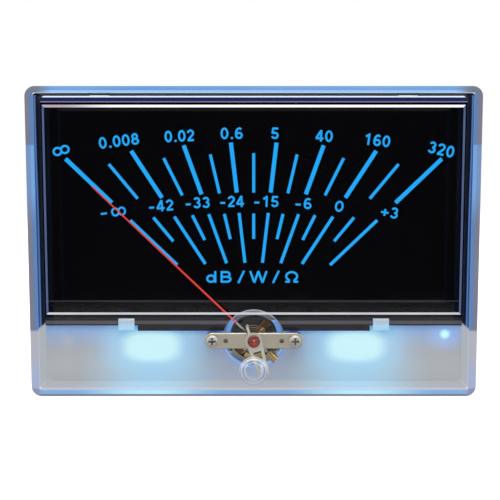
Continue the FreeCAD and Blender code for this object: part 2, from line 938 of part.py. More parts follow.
# Bridges, jewel screws and stops
def front_bridge():
    length = pillar_spacing + bridge_height
    bar = stadium(length, bridge_height, bridge_front, bridge_back, 0, pivot_z)
    edges = [e for e in bar.Edges if e.BoundBox.YMax < bridge_front + 0.01]
    bar = bar.makeChamfer(bridge_bevel, edges)
    holes = [rod(jewel_screw_radius + press_gap, bridge_front, bridge_back, 0, pivot_z)]
    for x in (-pillar_spacing / 2, pillar_spacing / 2):
        holes.append(rod(bridge_screw_radius + slip_gap, bridge_front, bridge_back, x, pivot_z))
    for x in (-dimple_x, dimple_x):
        holes.append(rod(dimple_radius, bridge_front, bridge_front + dimple_depth, x, pivot_z))
    return cut(bar, *holes)


def rear_bridge():
    length = pillar_spacing + bridge_height
    bar = stadium(length, bridge_height, rear_bridge_front, rear_bridge_back, 0, pivot_z)
    stud_end = rear_spring_y() - spring_width
    post_z = pivot_z + spring_tail + spring_post_radius + press_gap
    post = rod(spring_post_radius, stud_end, rear_bridge_front, spring_outer_radius, post_z)
    holes = [rod(jewel_screw_radius + press_gap, rear_bridge_front, rear_bridge_back, 0, pivot_z)]
    for x in (-pillar_spacing / 2, pillar_spacing / 2):
        bore = bridge_screw_radius + slip_gap
        holes.append(rod(bore, rear_bridge_front, rear_bridge_back, x, pivot_z))
    return cut(fused(bar, post), *holes)


def bridge_screw(x, seat, towards):
    return cross_screw(
        bridge_screw_radius, bridge_screw_length, bridge_head_radius, bridge_head_height,
        seat, x, pivot_z, towards
    )


def jewel_screw():
    """The front bearing screw. Its head keeps the zero lever on its neck."""
    head_back = lever_front - running_gap
    head_front = head_back - jewel_head_thickness
    bevel = jewel_head_thickness * 0.3
    profile = [
        (0, head_front),
        (jewel_head_radius - bevel, head_front),
        (jewel_head_radius, head_front + bevel),
        (jewel_head_radius, head_back),
        (jewel_screw_radius, head_back),
        (jewel_screw_radius, jewel_end),
        (jewel_radius + press_gap, jewel_end),
        (jewel_radius + press_gap, jewel_end - jewel_length - press_gap),
        (0, jewel_end - jewel_length - press_gap),
    ]
    screw = turned(profile, 0, pivot_z)
    half = jewel_slot_width / 2
    slot = block(-jewel_head_radius, jewel_head_radius, head_front, head_front + jewel_slot_depth,
                 pivot_z - half, pivot_z + half)
    return cut(screw, slot)


def jewel(end, towards):
    """A jewel cup that takes the cone of a pivot. Its mouth is at end, its body lies towards."""
    deep = pivot_cone + running_gap
    profile = [
        (pivot_radius + running_gap, end),
        (jewel_radius, end),
        (jewel_radius, end + towards * jewel_length),
        (0, end + towards * jewel_length),
        (0, end + towards * deep),
        (pivot_tip_radius + running_gap, end + towards * deep),
    ]
    return turned(profile, 0, pivot_z)


def rear_jewel_screw():
    back = rear_bridge_back + rear_jewel_tail
    bore = jewel_radius + press_gap
    profile = [
        (bore, rear_pivot_end),
        (jewel_screw_radius, rear_pivot_end),
        (jewel_screw_radius, back - rear_jewel_bevel),
        (jewel_screw_radius - rear_jewel_bevel, back),
        (0, back),
        (0, rear_pivot_end + jewel_length + press_gap),
        (bore, rear_pivot_end + jewel_length + press_gap),
    ]
    half = jewel_slot_width / 2
    slot = block(-jewel_screw_radius, jewel_screw_radius, back - rear_jewel_slot_depth, back,
                 pivot_z - half, pivot_z + half)
    return cut(turned(profile, 0, pivot_z), slot)


def lock_nut():
    """A hexagon nut behind the rear bridge."""
    reach = lock_nut_width / math.sqrt(3)
    corners = [
        (reach * math.cos(math.radians(60 * i)), pivot_z + reach * math.sin(math.radians(60 * i)))
        for i in range(6)
    ]
    nut = prism(corners, rear_bridge_back, rear_bridge_back + lock_nut_height)
    bore = rod(jewel_screw_radius + press_gap, rear_bridge_back, rear_bridge_back + lock_nut_height,
               0, pivot_z)
    return cut(nut, bore)


def pointer_stop(angle):
    """A pin on the yoke that the tail weight meets when the pointer stands at this angle."""
    turn = math.radians(angle)
    return rod(stop_pin_radius, needle_front - stop_pin_rise, core_front,
               -stop_radius * math.sin(turn), pivot_z - stop_radius * math.cos(turn))


def stop_angles():
    reach = tail_weight_radius + stop_pin_radius + stop_margin
    lead = math.degrees(math.asin(reach / stop_radius))
    low = -pointer_rest_angle - swing_below_rest - lead
    high = -pointer_rest_angle + swing_above_rest + lead
    return low, high


# Zero lever, drawn with its fork straight down and then turned to where the crank pin holds it
def zero_lever():
    ring = rod(lever_ring_radius, lever_front, lever_back, 0, pivot_z)
    slot_floor = pivot_z - fork_slot_root
    mid = adjuster_z + adjuster_pin_radius
    end = pivot_z - fork_reach
    tip_half = fork_slot_half_width + fork_tine_width
    root = fork_root_half_width
    blank = prism(
        [(-root, pivot_z), (root, pivot_z), (tip_half, mid), (tip_half, end), (-tip_half, end),
         (-tip_half, mid)],
        lever_front, lever_back
    )
    wide = (root - fork_tine_width) * 0.85
    closed = end - fork_closed_end
    slot = prism(
        [(-wide, slot_floor), (wide, slot_floor), (fork_slot_half_width, mid),
         (fork_slot_half_width, closed), (-fork_slot_half_width, closed),
         (-fork_slot_half_width, mid)],
        lever_front, lever_back
    )
    half = lever_prong_width / 2
    left = lever_prong_x - half
    right = lever_prong_x + half
    prong_end = pivot_z + lever_prong_reach
    tab_back = lever_front + lever_tab_reach
    prong = block(left, right, lever_front, lever_back, pivot_z + lever_ring_radius / 2, prong_end)
    tab = block(left, right, lever_front, tab_back, prong_end - lever_tab_thickness, prong_end)
    eye = block(left, right, spring_y() - spring_width / 2, tab_back,
                pivot_z + spring_outer_radius - lever_eye_width, prong_end)
    body = fused(ring, blank, prong, tab, eye)
    bore = rod(jewel_screw_radius + running_gap, lever_front, lever_back, 0, pivot_z)
    return about_pivot(cut(body, slot, bore), -lever_rest_angle)


def spring_y():
    """The plane of the front hairspring."""
    return needle_front - hub_rise - collet_gap - collet_length / 2 - 0.1


def rear_spring_y():
    return winding_back + pivot_foot_thickness + collet_gap + collet_length / 2


def front_hairspring():
    spring = spiral(spring_inner_radius, spring_pitch, spring_half_turns, spring_y(),
                    spring_thickness, spring_width, spring_tail)
    return about_pivot(spring, -lever_rest_angle)


def rear_hairspring():
    spring = spiral(spring_inner_radius, spring_pitch, spring_half_turns, rear_spring_y(),
                    spring_thickness, spring_width, spring_tail)
    spring.rotate(V(0, 0, pivot_z), TURN, 90)
    return spring


# Moving coil and pointer, drawn with the pointer straight up and then turned to rest
def at_rest(shape):
    return about_pivot(shape, -pointer_rest_angle)


def coil_ring(inner, outer, half_width, inner_end, outer_end):
    """A rectangular loop round the core: its long bars lie along X, its sides along Y."""
    outside = block(-outer, outer, core_front - outer_end, core_back + outer_end,
                    pivot_z - half_width, pivot_z + half_width)
    inside = block(-inner, inner, core_front - inner_end, core_back + inner_end,
                   pivot_z - half_width, pivot_z + half_width)
    return cut(outside, inside)


def coil_former():
    return at_rest(coil_ring(former_inner, former_outer, former_half_width, coil_end_gap,
                             coil_end_gap + former_thickness))


def coil_winding():
    start = coil_end_gap + former_thickness
    return at_rest(coil_ring(former_outer, winding_outer, winding_half_width, start,
                             start + winding_thickness))


def front_pivot():
    foot_front = winding_front - pivot_foot_thickness
    profile = [
        (0, winding_front),
        (pivot_foot_radius, winding_front),
        (pivot_foot_radius, foot_front),
        (pivot_radius, foot_front),
        (pivot_radius, jewel_end),
        (pivot_tip_radius, jewel_end - pivot_cone),
        (0, jewel_end - pivot_cone),
    ]
    return turned(profile, 0, pivot_z)


def rear_pivot():
    foot_back = winding_back + pivot_foot_thickness
    profile = [
        (0, winding_back),
        (pivot_foot_radius, winding_back),
        (pivot_foot_radius, foot_back),
        (pivot_radius, foot_back),
        (pivot_radius, rear_pivot_end),
        (pivot_tip_radius, rear_pivot_end + pivot_cone),
        (0, rear_pivot_end + pivot_cone),
    ]
    return turned(profile, 0, pivot_z)


def collet(middle):
    """The split ring on a pivot that holds the inner end of a hairspring."""
    half = collet_length / 2
    ring = tube(collet_radius, pivot_radius + press_gap, middle - half, middle + half, 0, pivot_z)
    half_slit = collet_slit / 2
    slit = block(-half_slit, half_slit, middle - half, middle + half, pivot_z,
                 pivot_z + collet_radius)
    return cut(ring, slit)


def pointer_hub():
    front = needle_front - hub_rise
    flange_back = needle_back + hub_flange_thickness
    bush = rod(hub_radius, front, flange_back, 0, pivot_z)
    flange = rod(hub_flange_radius, needle_back, flange_back, 0, pivot_z)
    bore = rod(pivot_radius + press_gap, front, flange_back, 0, pivot_z)
    return cut(fused(bush, flange), bore)


def pointer():
    root = pointer_root_width / 2
    tip = pointer_tip_width / 2
    top = pivot_z + pointer_reach
    shoulder = top - pointer_tip_length
    needle = prism(
        [(-root, pivot_z), (root, pivot_z), (tip, shoulder), (0, top), (-tip, shoulder)],
        needle_front, needle_back
    )
    eye = rod(eye_radius, needle_front, needle_back, 0, pivot_z)
    arm = tail_arm_width / 2
    tail = block(-arm, arm, needle_front, needle_back, pivot_z - tail_arm_end(), pivot_z)
    sides = block(-side_arm_reach, side_arm_reach, needle_front, needle_back,
                  pivot_z - side_arm_width / 2, pivot_z + side_arm_width / 2)
    bore = rod(hub_radius + press_gap, needle_front, needle_back, 0, pivot_z)
    return at_rest(cut(fused(needle, eye, tail, sides), bore))


def tail_arm_end():
    return tail_weight_start + tail_weight_length - arm_end_gap


def tail_weight():
    """A slit brass cylinder pushed onto the tail arm."""
    middle = (needle_front + needle_back) / 2
    body = Part.makeCylinder(
        tail_weight_radius, tail_weight_length,
        V(0, middle, pivot_z - tail_weight_start), V(0, 0, -1)
    )
    arm = tail_arm_width / 2 + press_gap
    slit = block(-arm, arm, needle_front - press_gap, needle_back + press_gap,
                 pivot_z - tail_arm_end() - press_gap, pivot_z)
    return at_rest(cut(body, slit))


def side_weight(side):
    """A short sleeve on a side arm, which balances the pointer sideways."""
    middle = (needle_front + needle_back) / 2
    start = side_arm_reach - side_weight_length - arm_end_gap / 3
    body = Part.makeCylinder(
        side_weight_radius, side_weight_length, V(side * start, middle, pivot_z), V(side, 0, 0)
    )
    arm = side_arm_width / 2 + press_gap
    slit = block(-side_arm_reach, side_arm_reach, needle_front - press_gap,
                 needle_back + press_gap, pivot_z - arm, pivot_z + arm)
    return at_rest(cut(body, slit))


save("front_cover", front_cover())
save("zero_adjuster", zero_adjuster())
save("dial_plate", dial_plate())
save("diffuser", diffuser())
save("light_box", light_box())
save("rear_case", rear_case())
save("case_screws", *[case_screw(x, z) for x, z in case_screw_places()])
save("mounting_studs", *[mounting_stud(x, z) for x, z in stud_places()])
save("signal_terminals", *[terminal_lug(x) for x in (-signal_lug_x, signal_lug_x)])
save("lamp_terminals", *[terminal_lug(x) for x in (-lamp_lug_x, lamp_lug_x)])
save("lamp_boards", *[lamp_board(x) for x in (-lamp_x, lamp_x)])
led_places = [side * lamp_x + step * led_pitch / 2 for side in (-1, 1) for step in (-1, 1)]
save("lamp_leds", *[led(x) for x in led_places])
lamp_seat = lamp_board_back - lamp_board_thickness
save("lamp_screws", *[
    slotted_screw(lamp_screw_radius, lamp_board_thickness + lamp_screw_grip, lamp_head_radius,
                  lamp_head_height, lamp_seat, x, lamp_z, -1)
    for x in lamp_screw_xs()
])
save("lamp_leads", *lamp_leads())
save("signal_leads", *signal_leads())
save("movement_frame", movement_frame())
save("movement_screws", *[
    frame_screw(x, z) for x, z in corners_of(frame_screw_x, -frame_screw_z, frame_screw_z)
])
save("yoke_ring", tube(yoke_outer, yoke_inner, core_front, core_back, 0, pivot_z))
save("core_magnet", rod(core_radius, core_front, core_back, 0, pivot_z))
save("core_webs", core_web(90), core_web(-90))
save("pointer_stops", *[pointer_stop(angle) for angle in stop_angles()])
save("front_bridge", front_bridge())
save("front_bridge_screws", *[
    bridge_screw(x, bridge_front, -1) for x in (-pillar_spacing / 2, pillar_spacing / 2)
])
save("front_jewel_screw", jewel_screw())
save("front_jewel", jewel(jewel_end, -1))
save("rear_bridge", rear_bridge())
save("rear_bridge_screws", *[
    bridge_screw(x, rear_bridge_back, 1) for x in (-pillar_spacing / 2, pillar_spacing / 2)
])
save("rear_jewel_screw", rear_jewel_screw())
save("rear_jewel", jewel(rear_pivot_end, 1))
save("rear_lock_nut", lock_nut())
save("rear_hairspring", rear_hairspring())
save("zero_lever", zero_lever())
save("front_hairspring", front_hairspring())
save("coil_former", coil_former())
save("coil_winding", coil_winding())
save("front_pivot", front_pivot())
save("rear_pivot", rear_pivot())
save("front_collet", collet(spring_y()))
save("rear_collet", collet(rear_spring_y()))
save("pointer_hub", pointer_hub())
save("pointer", pointer())
save("tail_weight", tail_weight())
save("side_weights", side_weight(-1), side_weight(1))

spring_gap = least_gap(spring_inner_radius, spring_pitch, spring_half_turns, spring_thickness)
print("least gap between turns of a hairspring, mm:", round(spring_gap, 3))
print("zero lever at rest, degrees:", round(lever_rest_angle, 3))
print("movement axis and adjuster axis, z:", pivot_z, adjuster_z)
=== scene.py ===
"""Looks of an analog VU meter: clear cover, backlit black dial, red pointer, lit white panel.

Metres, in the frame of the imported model: X to the right, the front looks along -Y, Z up.
"""

import json
import math

import bmesh
import bpy
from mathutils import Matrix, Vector


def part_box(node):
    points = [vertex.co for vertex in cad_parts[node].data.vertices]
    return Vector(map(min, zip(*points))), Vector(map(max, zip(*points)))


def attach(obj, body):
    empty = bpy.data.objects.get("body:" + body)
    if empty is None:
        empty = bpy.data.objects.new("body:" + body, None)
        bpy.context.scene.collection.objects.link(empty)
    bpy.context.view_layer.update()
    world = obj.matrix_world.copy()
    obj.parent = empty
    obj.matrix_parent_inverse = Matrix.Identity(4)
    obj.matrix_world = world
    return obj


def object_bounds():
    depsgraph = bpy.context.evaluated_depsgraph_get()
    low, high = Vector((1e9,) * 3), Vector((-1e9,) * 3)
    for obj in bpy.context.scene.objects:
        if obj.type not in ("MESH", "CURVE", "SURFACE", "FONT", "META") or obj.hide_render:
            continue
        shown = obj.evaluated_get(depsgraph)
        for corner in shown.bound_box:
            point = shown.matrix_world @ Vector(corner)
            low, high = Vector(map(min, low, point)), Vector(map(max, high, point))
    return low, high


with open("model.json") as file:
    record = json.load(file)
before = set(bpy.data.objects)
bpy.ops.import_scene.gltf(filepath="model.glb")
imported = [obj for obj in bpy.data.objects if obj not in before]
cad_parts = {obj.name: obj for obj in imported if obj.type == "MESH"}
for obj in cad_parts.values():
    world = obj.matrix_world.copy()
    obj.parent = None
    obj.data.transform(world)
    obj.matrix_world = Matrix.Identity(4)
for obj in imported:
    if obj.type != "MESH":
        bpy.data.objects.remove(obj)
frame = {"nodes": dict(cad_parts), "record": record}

cad_low, cad_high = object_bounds()
nodes = frame["nodes"]
MM = 0.001

# Driving places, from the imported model
dial_low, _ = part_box("dial_plate")
dial_front = dial_low[1]
jewel_low, jewel_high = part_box("front_jewel_screw")
pivot_z = (jewel_low[2] + jewel_high[2]) / 2
knob_low, knob_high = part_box("zero_adjuster")
adjuster_z = (knob_low[2] + knob_high[2]) / 2

# Where the two lamps shine through the panel
LEFT_LAMP_X = -31.7 * MM
RIGHT_LAMP_X = 31.8 * MM
LAMP_Z = -33.2 * MM

# The cover's face, from which the raised window and the adjuster's boss stand out
FACE_Y = -16.0 * MM

# Colours, as linear RGB
BLACK = (0, 0, 0)
# Painted backlight: the glow of the print, as if the lamps shone through it
PRINT_GLOW = (0.012, 0.368, 0.88)
LAMP_WHITE = (0.58, 0.93, 1.0)
LAMP_BLUE = (0.16, 0.46, 0.86)

# Sockets of a Mix node that is set to colours
MIX_FACTOR, MIX_FIRST, MIX_SECOND, MIX_RESULT = 0, 6, 7, 2


def tone(red, green, blue):
    """A colour as seen in a picture, 0 to 255, as linear RGB."""
    return tuple(
        c / 255 / 12.92 if c <= 10 else ((c / 255 + 0.055) / 1.055) ** 2.4 for c in (red, green, blue)
    )


def darker(colour, share):
    return tuple(c * share for c in colour)


# Node helpers
class Graph:
    """A short way to write a material's node tree. A value is a number, a colour or another node's socket."""

    def __init__(self, name):
        self.material = bpy.data.materials.new(name)
        self.material.use_nodes = True
        self.tree = self.material.node_tree
        self.shader = self.tree.nodes["Principled BSDF"]
        self.output = self.tree.nodes["Material Output"]
        self.coordinates = self.new("ShaderNodeTexCoord")

    def new(self, kind, **settings):
        node = self.tree.nodes.new(kind)
        for key, value in settings.items():
            setattr(node, key, value)
        return node

    def link(self, start, end):
        self.tree.links.new(start, end)

    def put(self, socket, value):
        """Link or set one input."""
        if isinstance(value, bpy.types.NodeSocket):
            self.link(value, socket)
        elif isinstance(value, (tuple, list)) and len(value) == 3 and socket.type == "RGBA":
            socket.default_value = (*value, 1)
        else:
            socket.default_value = value

    def set(self, **inputs):
        """Inputs of the Principled shader, with underscores for spaces."""
        for key, value in inputs.items():
            self.put(self.shader.inputs[key.replace("_", " ")], value)

    def math(self, operation, first, second=0.0):
        node = self.new("ShaderNodeMath", operation=operation)
        self.put(node.inputs[0], first)
        self.put(node.inputs[1], second)
        return node.outputs[0]

    def times(self, first, *others):
        """The product of all values."""
        for other in others:
            first = self.math("MULTIPLY", first, other)
        return first

    def most(self, first, *others):
        """The greatest of all values."""
        for other in others:
            first = self.math("MAXIMUM", first, other)
        return first

    def unsigned(self, value):
        return self.math("ABSOLUTE", value)

    def over(self, value, limit):
        return self.math("GREATER_THAN", value, limit)

    def under(self, value, limit):
        return self.math("LESS_THAN", value, limit)

    def place(self):
        """The place on the object, as three sockets in metres."""
        split = self.new("ShaderNodeSeparateXYZ")
        self.link(self.coordinates.outputs["Object"], split.inputs[0])
        return split.outputs

    def facing(self):
        """The surface's own direction, as three sockets."""
        split = self.new("ShaderNodeSeparateXYZ")
        self.link(self.coordinates.outputs["Normal"], split.inputs[0])
        return split.outputs

    def step(self, value, start, end):
        """0 up to the start and 1 from the end on, smooth between. The end may be the lower of the two."""
        node = self.new("ShaderNodeMapRange", interpolation_type="SMOOTHSTEP")
        self.put(node.inputs["Value"], value)
        node.inputs["From Min"].default_value = start
        node.inputs["From Max"].default_value = end
        return node.outputs[0]

    def band(self, value, low, high, soft):
        """1 between low and high, with soft ends."""
        return self.times(self.step(value, low - soft, low), self.step(value, high + soft, high))

    def mix(self, factor, first, second):
        """The first colour where the factor is 0, the second where it is 1."""
        node = self.new("ShaderNodeMix", data_type="RGBA")
        self.put(node.inputs[MIX_FACTOR], factor)
        self.put(node.inputs[MIX_FIRST], first)
        self.put(node.inputs[MIX_SECOND], second)
        return node.outputs[MIX_RESULT]

    def layers(self, colour, *covers):
        """A colour with others laid over it in turn, each as (where, colour)."""
        for where, cover in covers:
            colour = self.mix(where, colour, cover)
        return colour

    def noise(self, scale, detail=3.0, roughness=0.5, stretch=(1, 1, 1)):
        mapping = self.new("ShaderNodeMapping")
        mapping.inputs["Scale"].default_value = stretch
        self.link(self.coordinates.outputs["Object"], mapping.inputs[0])
        node = self.new("ShaderNodeTexNoise")
        node.inputs["Scale"].default_value = scale
        node.inputs["Detail"].default_value = detail
        node.inputs["Roughness"].default_value = roughness
        self.link(mapping.outputs[0], node.inputs["Vector"])
        return node.outputs["Fac"]

    def spread(self, value, low, high):
        """A 0 to 1 value mapped to low to high."""
        node = self.new("ShaderNodeMapRange")
        self.put(node.inputs["Value"], value)
        node.inputs["To Min"].default_value = low
        node.inputs["To Max"].default_value = high
        return node.outputs[0]

    def bump(self, height, strength, distance):
        node = self.new("ShaderNodeBump")
        node.inputs["Strength"].default_value = strength
        node.inputs["Distance"].default_value = distance
        self.link(height, node.inputs["Height"])
        self.link(node.outputs[0], self.shader.inputs["Normal"])

    def show_through(self, amount):
        """Mix with a clear shader. amount is 0 for clear and 1 for solid."""
        clear = self.new("ShaderNodeBsdfTransparent")
        mixer = self.new("ShaderNodeMixShader")
        self.put(mixer.inputs[0], amount)
        self.link(clear.outputs[0], mixer.inputs[1])
        self.link(self.shader.outputs[0], mixer.inputs[2])
        self.link(mixer.outputs[0], self.output.inputs["Surface"])


# Masks that several materials share
def radial(g, centre_x, centre_z, width, height, power=2.0):
    """How far a place is from a centre, in half widths. A power over 2 squares the ellipse off."""
    x, _, z = g.place()
    across = g.math("DIVIDE", g.math("SUBTRACT", x, centre_x), width)
    up = g.math("DIVIDE", g.math("SUBTRACT", z, centre_z), height)
    total = g.math("ADD", g.math("POWER", g.unsigned(across), power), g.math("POWER", g.unsigned(up), power))
    return g.math("POWER", total, 1 / power)


def distance(g, centre_x, centre_z):
    """How far a place is from a centre, in metres and seen from the front."""
    return radial(g, centre_x, centre_z, 1.0, 1.0)


def seen_along(g, low, high):
    """1 where a surface is seen at a low angle."""
    rim = g.new("ShaderNodeLayerWeight")
    rim.inputs["Blend"].default_value = 0.5
    return g.step(rim.outputs["Facing"], low, high)


def lamp_near(g, half_width):
    """1 in front of either lamp, falling off to both sides."""
    x, _, _ = g.place()
    left = g.unsigned(g.math("SUBTRACT", x, LEFT_LAMP_X))
    right = g.unsigned(g.math("SUBTRACT", x, RIGHT_LAMP_X))
    return g.step(g.math("MINIMUM", left, right), half_width, 2 * MM)


def upper_side(g, centre_z):
    """1 on the upper side of something round, 0 on its lower side."""
    _, _, z = g.place()
    return g.step(z, centre_z - 1 * MM, centre_z + 2 * MM)


# Clear acrylic
def clear_shell(g, solid, colour, roughness, mirroring):
    """Finish a clear material. solid is 0 where it shows through and 1 where it doesn't."""
    g.set(Base_Color=colour, Roughness=roughness, IOR=1.49, Specular_IOR_Level=mirroring)
    g.show_through(solid)
    return g.material


def wall_ends(g, by_lamp, under_dial):
    """Where the cover's four walls end at the front, and the light that they carry there."""
    x, y, z = g.place()
    across = g.unsigned(x)
    at_front = g.step(y, -14.9 * MM, -15.3 * MM)
    at_side = g.step(across, 64.2 * MM, 64.4 * MM)
    at_top = g.step(z, 44.1 * MM, 44.3 * MM)
    at_foot = g.step(z, -43.6 * MM, -43.8 * MM)

    lit_stretch = g.times(g.step(z, 4 * MM, 17 * MM), g.step(z, 29.3 * MM, 28.9 * MM))
    side_line = g.band(across, 64.5 * MM, 65.3 * MM, 0.2 * MM)
    towards_foot = g.step(z, -32 * MM, -41 * MM)
    sides = g.layers(
        g.mix(g.noise(60, 2), tone(112, 112, 128), tone(130, 132, 152)),
        (lit_stretch, tone(118, 146, 190)),
        (side_line, g.mix(lit_stretch, tone(92, 130, 182), tone(116, 164, 222))),
        (under_dial, g.mix(towards_foot, tone(177, 177, 190), tone(164, 175, 208))),
    )

    streaks = g.spread(g.noise(40, 2, 0.5, (1, 1, 0.2)), -0.2, 1.2)
    top_line = g.band(z, 44.4 * MM, 44.85 * MM, 0.15 * MM)
    top_corner = g.step(across, 58 * MM, 64 * MM)
    top = g.layers(
        g.mix(streaks, tone(96, 150, 208), tone(122, 170, 222)),
        (top_line, tone(158, 202, 252)),
        (top_corner, tone(116, 122, 138)),
    )

    inner_line = g.step(z, -44.35 * MM, -44.15 * MM)
    outer_line = g.step(z, -45.3 * MM, -45.55 * MM)
    foot_corner = g.step(across, 63.4 * MM, 65.2 * MM)
    foot = g.layers(
        g.mix(by_lamp, tone(130, 174, 222), tone(188, 236, 254)),
        (inner_line, g.mix(by_lamp, tone(184, 188, 203), tone(184, 216, 240))),
        (outer_line, tone(118, 126, 146)),
        (foot_corner, tone(138, 146, 176)),
    )
    where = g.times(g.most(at_side, at_top, at_foot), at_front)
    return where, g.layers(sides, (at_top, top), (at_foot, foot))


def wall_mirrors(g, by_lamp, under_dial):
    """The inner faces of the walls, which mirror the black dial above and the lit panel below."""
    x, y, z = g.place()
    _, ny, _ = g.facing()
    across = g.unsigned(x)
    upward = g.unsigned(z)
    behind_face = g.over(y, -14.02 * MM)
    within_rim = g.times(g.under(across, 66 * MM), g.under(upward, 45.2 * MM))
    by_wall = g.most(g.over(across, 64 * MM), g.over(upward, 43.2 * MM))
    looks_inward = g.under(g.unsigned(ny), 0.5)
    where = g.times(behind_face, within_rim, by_wall, looks_inward, seen_along(g, 0.5, 0.7))

    # Beside the dial the front of each wall shows a painted blue reflection, with a lighter painted line
    # along the rear of that stretch.
    # Both start further forward towards the top.
    depth = g.math("ADD", y, g.times(g.step(z, 2 * MM, 34 * MM), 1.2 * MM))
    front_part = g.times(g.step(depth, -8.6 * MM, -9.4 * MM), g.step(z, 44 * MM, 43.5 * MM))
    rear_line = g.times(front_part, g.step(depth, -10.8 * MM, -10.4 * MM))
    panel = g.mix(by_lamp, tone(175, 180, 187), tone(174, 212, 236))
    panel_front = g.mix(by_lamp, tone(186, 190, 200), tone(190, 218, 240))
    near_face = g.step(y, -11.4 * MM, -13.6 * MM)
    return where, g.layers(
        tone(4, 7, 24),
        (front_part, tone(44, 82, 146)),
        (rear_line, tone(78, 122, 184)),
        (under_dial, g.mix(near_face, panel, panel_front)),
    )


def raised_front(g):
    """1 on what stands out from the cover's face."""
    _, y, _ = g.place()
    return g.step(y, FACE_Y + 0.05 * MM, FACE_Y)


def window_edge(g):
    """The sloped edge of the raised window, with painted highlights: pale above and below, dark at its ends.
    """
    x, _, z = g.place()
    _, ny, nz = g.facing()
    sloped = g.under(g.unsigned(ny), 0.95)
    above_boss = g.step(z, -30 * MM, -29 * MM)
    top_glint = g.mix(g.step(x, -56 * MM, -40 * MM), tone(184, 172, 188), tone(255, 254, 255))
    foot_glint = g.mix(g.noise(60, 2), tone(206, 204, 214), tone(232, 231, 238))
    return g.times(sloped, raised_front(g), above_boss), g.layers(
        tone(80, 96, 140),
        (g.step(nz, 0.3, 0.6), top_glint),
        (g.step(nz, -0.3, -0.6), foot_glint),
    )


def movement_rib(g):
    """The rib round the movement, the fine line along its outer edge, and the painted light on it, paler on
    its upper part.
    """
    _, y, z = g.place()
    away = distance(g, 0.0, pivot_z)
    where = g.times(g.band(away, 8.65 * MM, 9.62 * MM, 0.1 * MM), g.step(y, -10.2 * MM, -10.05 * MM))
    line = g.times(where, g.step(away, 9.2 * MM, 9.35 * MM))
    crown = g.times(where, g.step(z, -24 * MM, -22 * MM))
    return where, line, g.mix(crown, tone(104, 132, 176), tone(204, 205, 211))


def adjuster_boss(g):
    """The ring round the zero adjuster, and the painted light on it, paler on its upper side."""
    where = g.times(g.band(distance(g, 0.0, adjuster_z), 4.1 * MM, 4.36 * MM, 0.05 * MM), raised_front(g))
    return where, g.mix(upper_side(g, adjuster_z), tone(152, 158, 178), tone(226, 228, 236))


def clear_cover():
    """The cover, with the light along its edges, in its walls and on its raised lines."""
    g = Graph("clear_cover")
    _, _, z = g.place()
    under_dial = g.step(z, -25.6 * MM, -26.6 * MM)
    by_lamp = lamp_near(g, 24 * MM)
    end, end_light = wall_ends(g, by_lamp, under_dial)
    inner, mirror = wall_mirrors(g, by_lamp, under_dial)
    window, glint = window_edge(g)
    rib, rib_line, rib_light = movement_rib(g)
    boss, boss_light = adjuster_boss(g)

    # Painted light, from the clear body to the brightest line
    glow = g.layers(
        BLACK, (end, end_light), (inner, mirror), (window, glint), (rib, rib_light), (boss, boss_light)
    )
    solid = g.most(
        g.times(seen_along(g, 0.6, 1.0), 0.35),
        end,
        inner,
        g.times(window, 0.92),
        g.times(rib, 0.2),
        g.times(rib_line, 0.65),
        g.times(boss, 0.6),
    )
    marked = g.most(end, inner, window, rib, boss)
    # Where marked, the base colour takes a dim copy of the painted light
    body = g.mix(marked, (0.72, 0.77, 0.82), g.mix(0.12, BLACK, glow))
    g.set(Emission_Color=glow, Emission_Strength=0.85)
    return clear_shell(g, solid, body, roughness=g.spread(marked, 0.05, 0.7), mirroring=0.15)


def clear_adjuster():
    """The zero adjuster, with the lines of its rim, its groove and the crank pin behind it, in painted light
    that is paler on its upper side.
    """
    g = Graph("clear_adjuster")
    _, ny, _ = g.facing()
    away = distance(g, 0.0, adjuster_z)
    upper = upper_side(g, adjuster_z)
    rim = g.band(away, 3.64 * MM, 3.82 * MM, 0.06 * MM)
    groove = g.band(away, 2.52 * MM, 2.76 * MM, 0.06 * MM)
    edge = g.under(g.unsigned(ny), 0.95)
    crank_pin = g.step(distance(g, 2.45 * MM, adjuster_z), 0.62 * MM, 0.55 * MM)
    solid = g.most(
        g.times(rim, 0.7),
        g.times(groove, 0.5),
        g.times(edge, 0.35),
        g.times(crank_pin, 0.5),
        g.times(seen_along(g, 0.6, 1.0), 0.3),
    )
    light = g.mix(upper, tone(150, 158, 180), tone(236, 238, 244))
    g.set(Emission_Color=g.mix(g.noise(300, 2), light, tone(210, 214, 224)), Emission_Strength=0.6)
    # The base colour is painted lighter on the upper side
    body = g.mix(upper, (0.20, 0.22, 0.27), (0.5, 0.52, 0.55))
    return clear_shell(g, solid, body, roughness=0.05, mirroring=0.3)


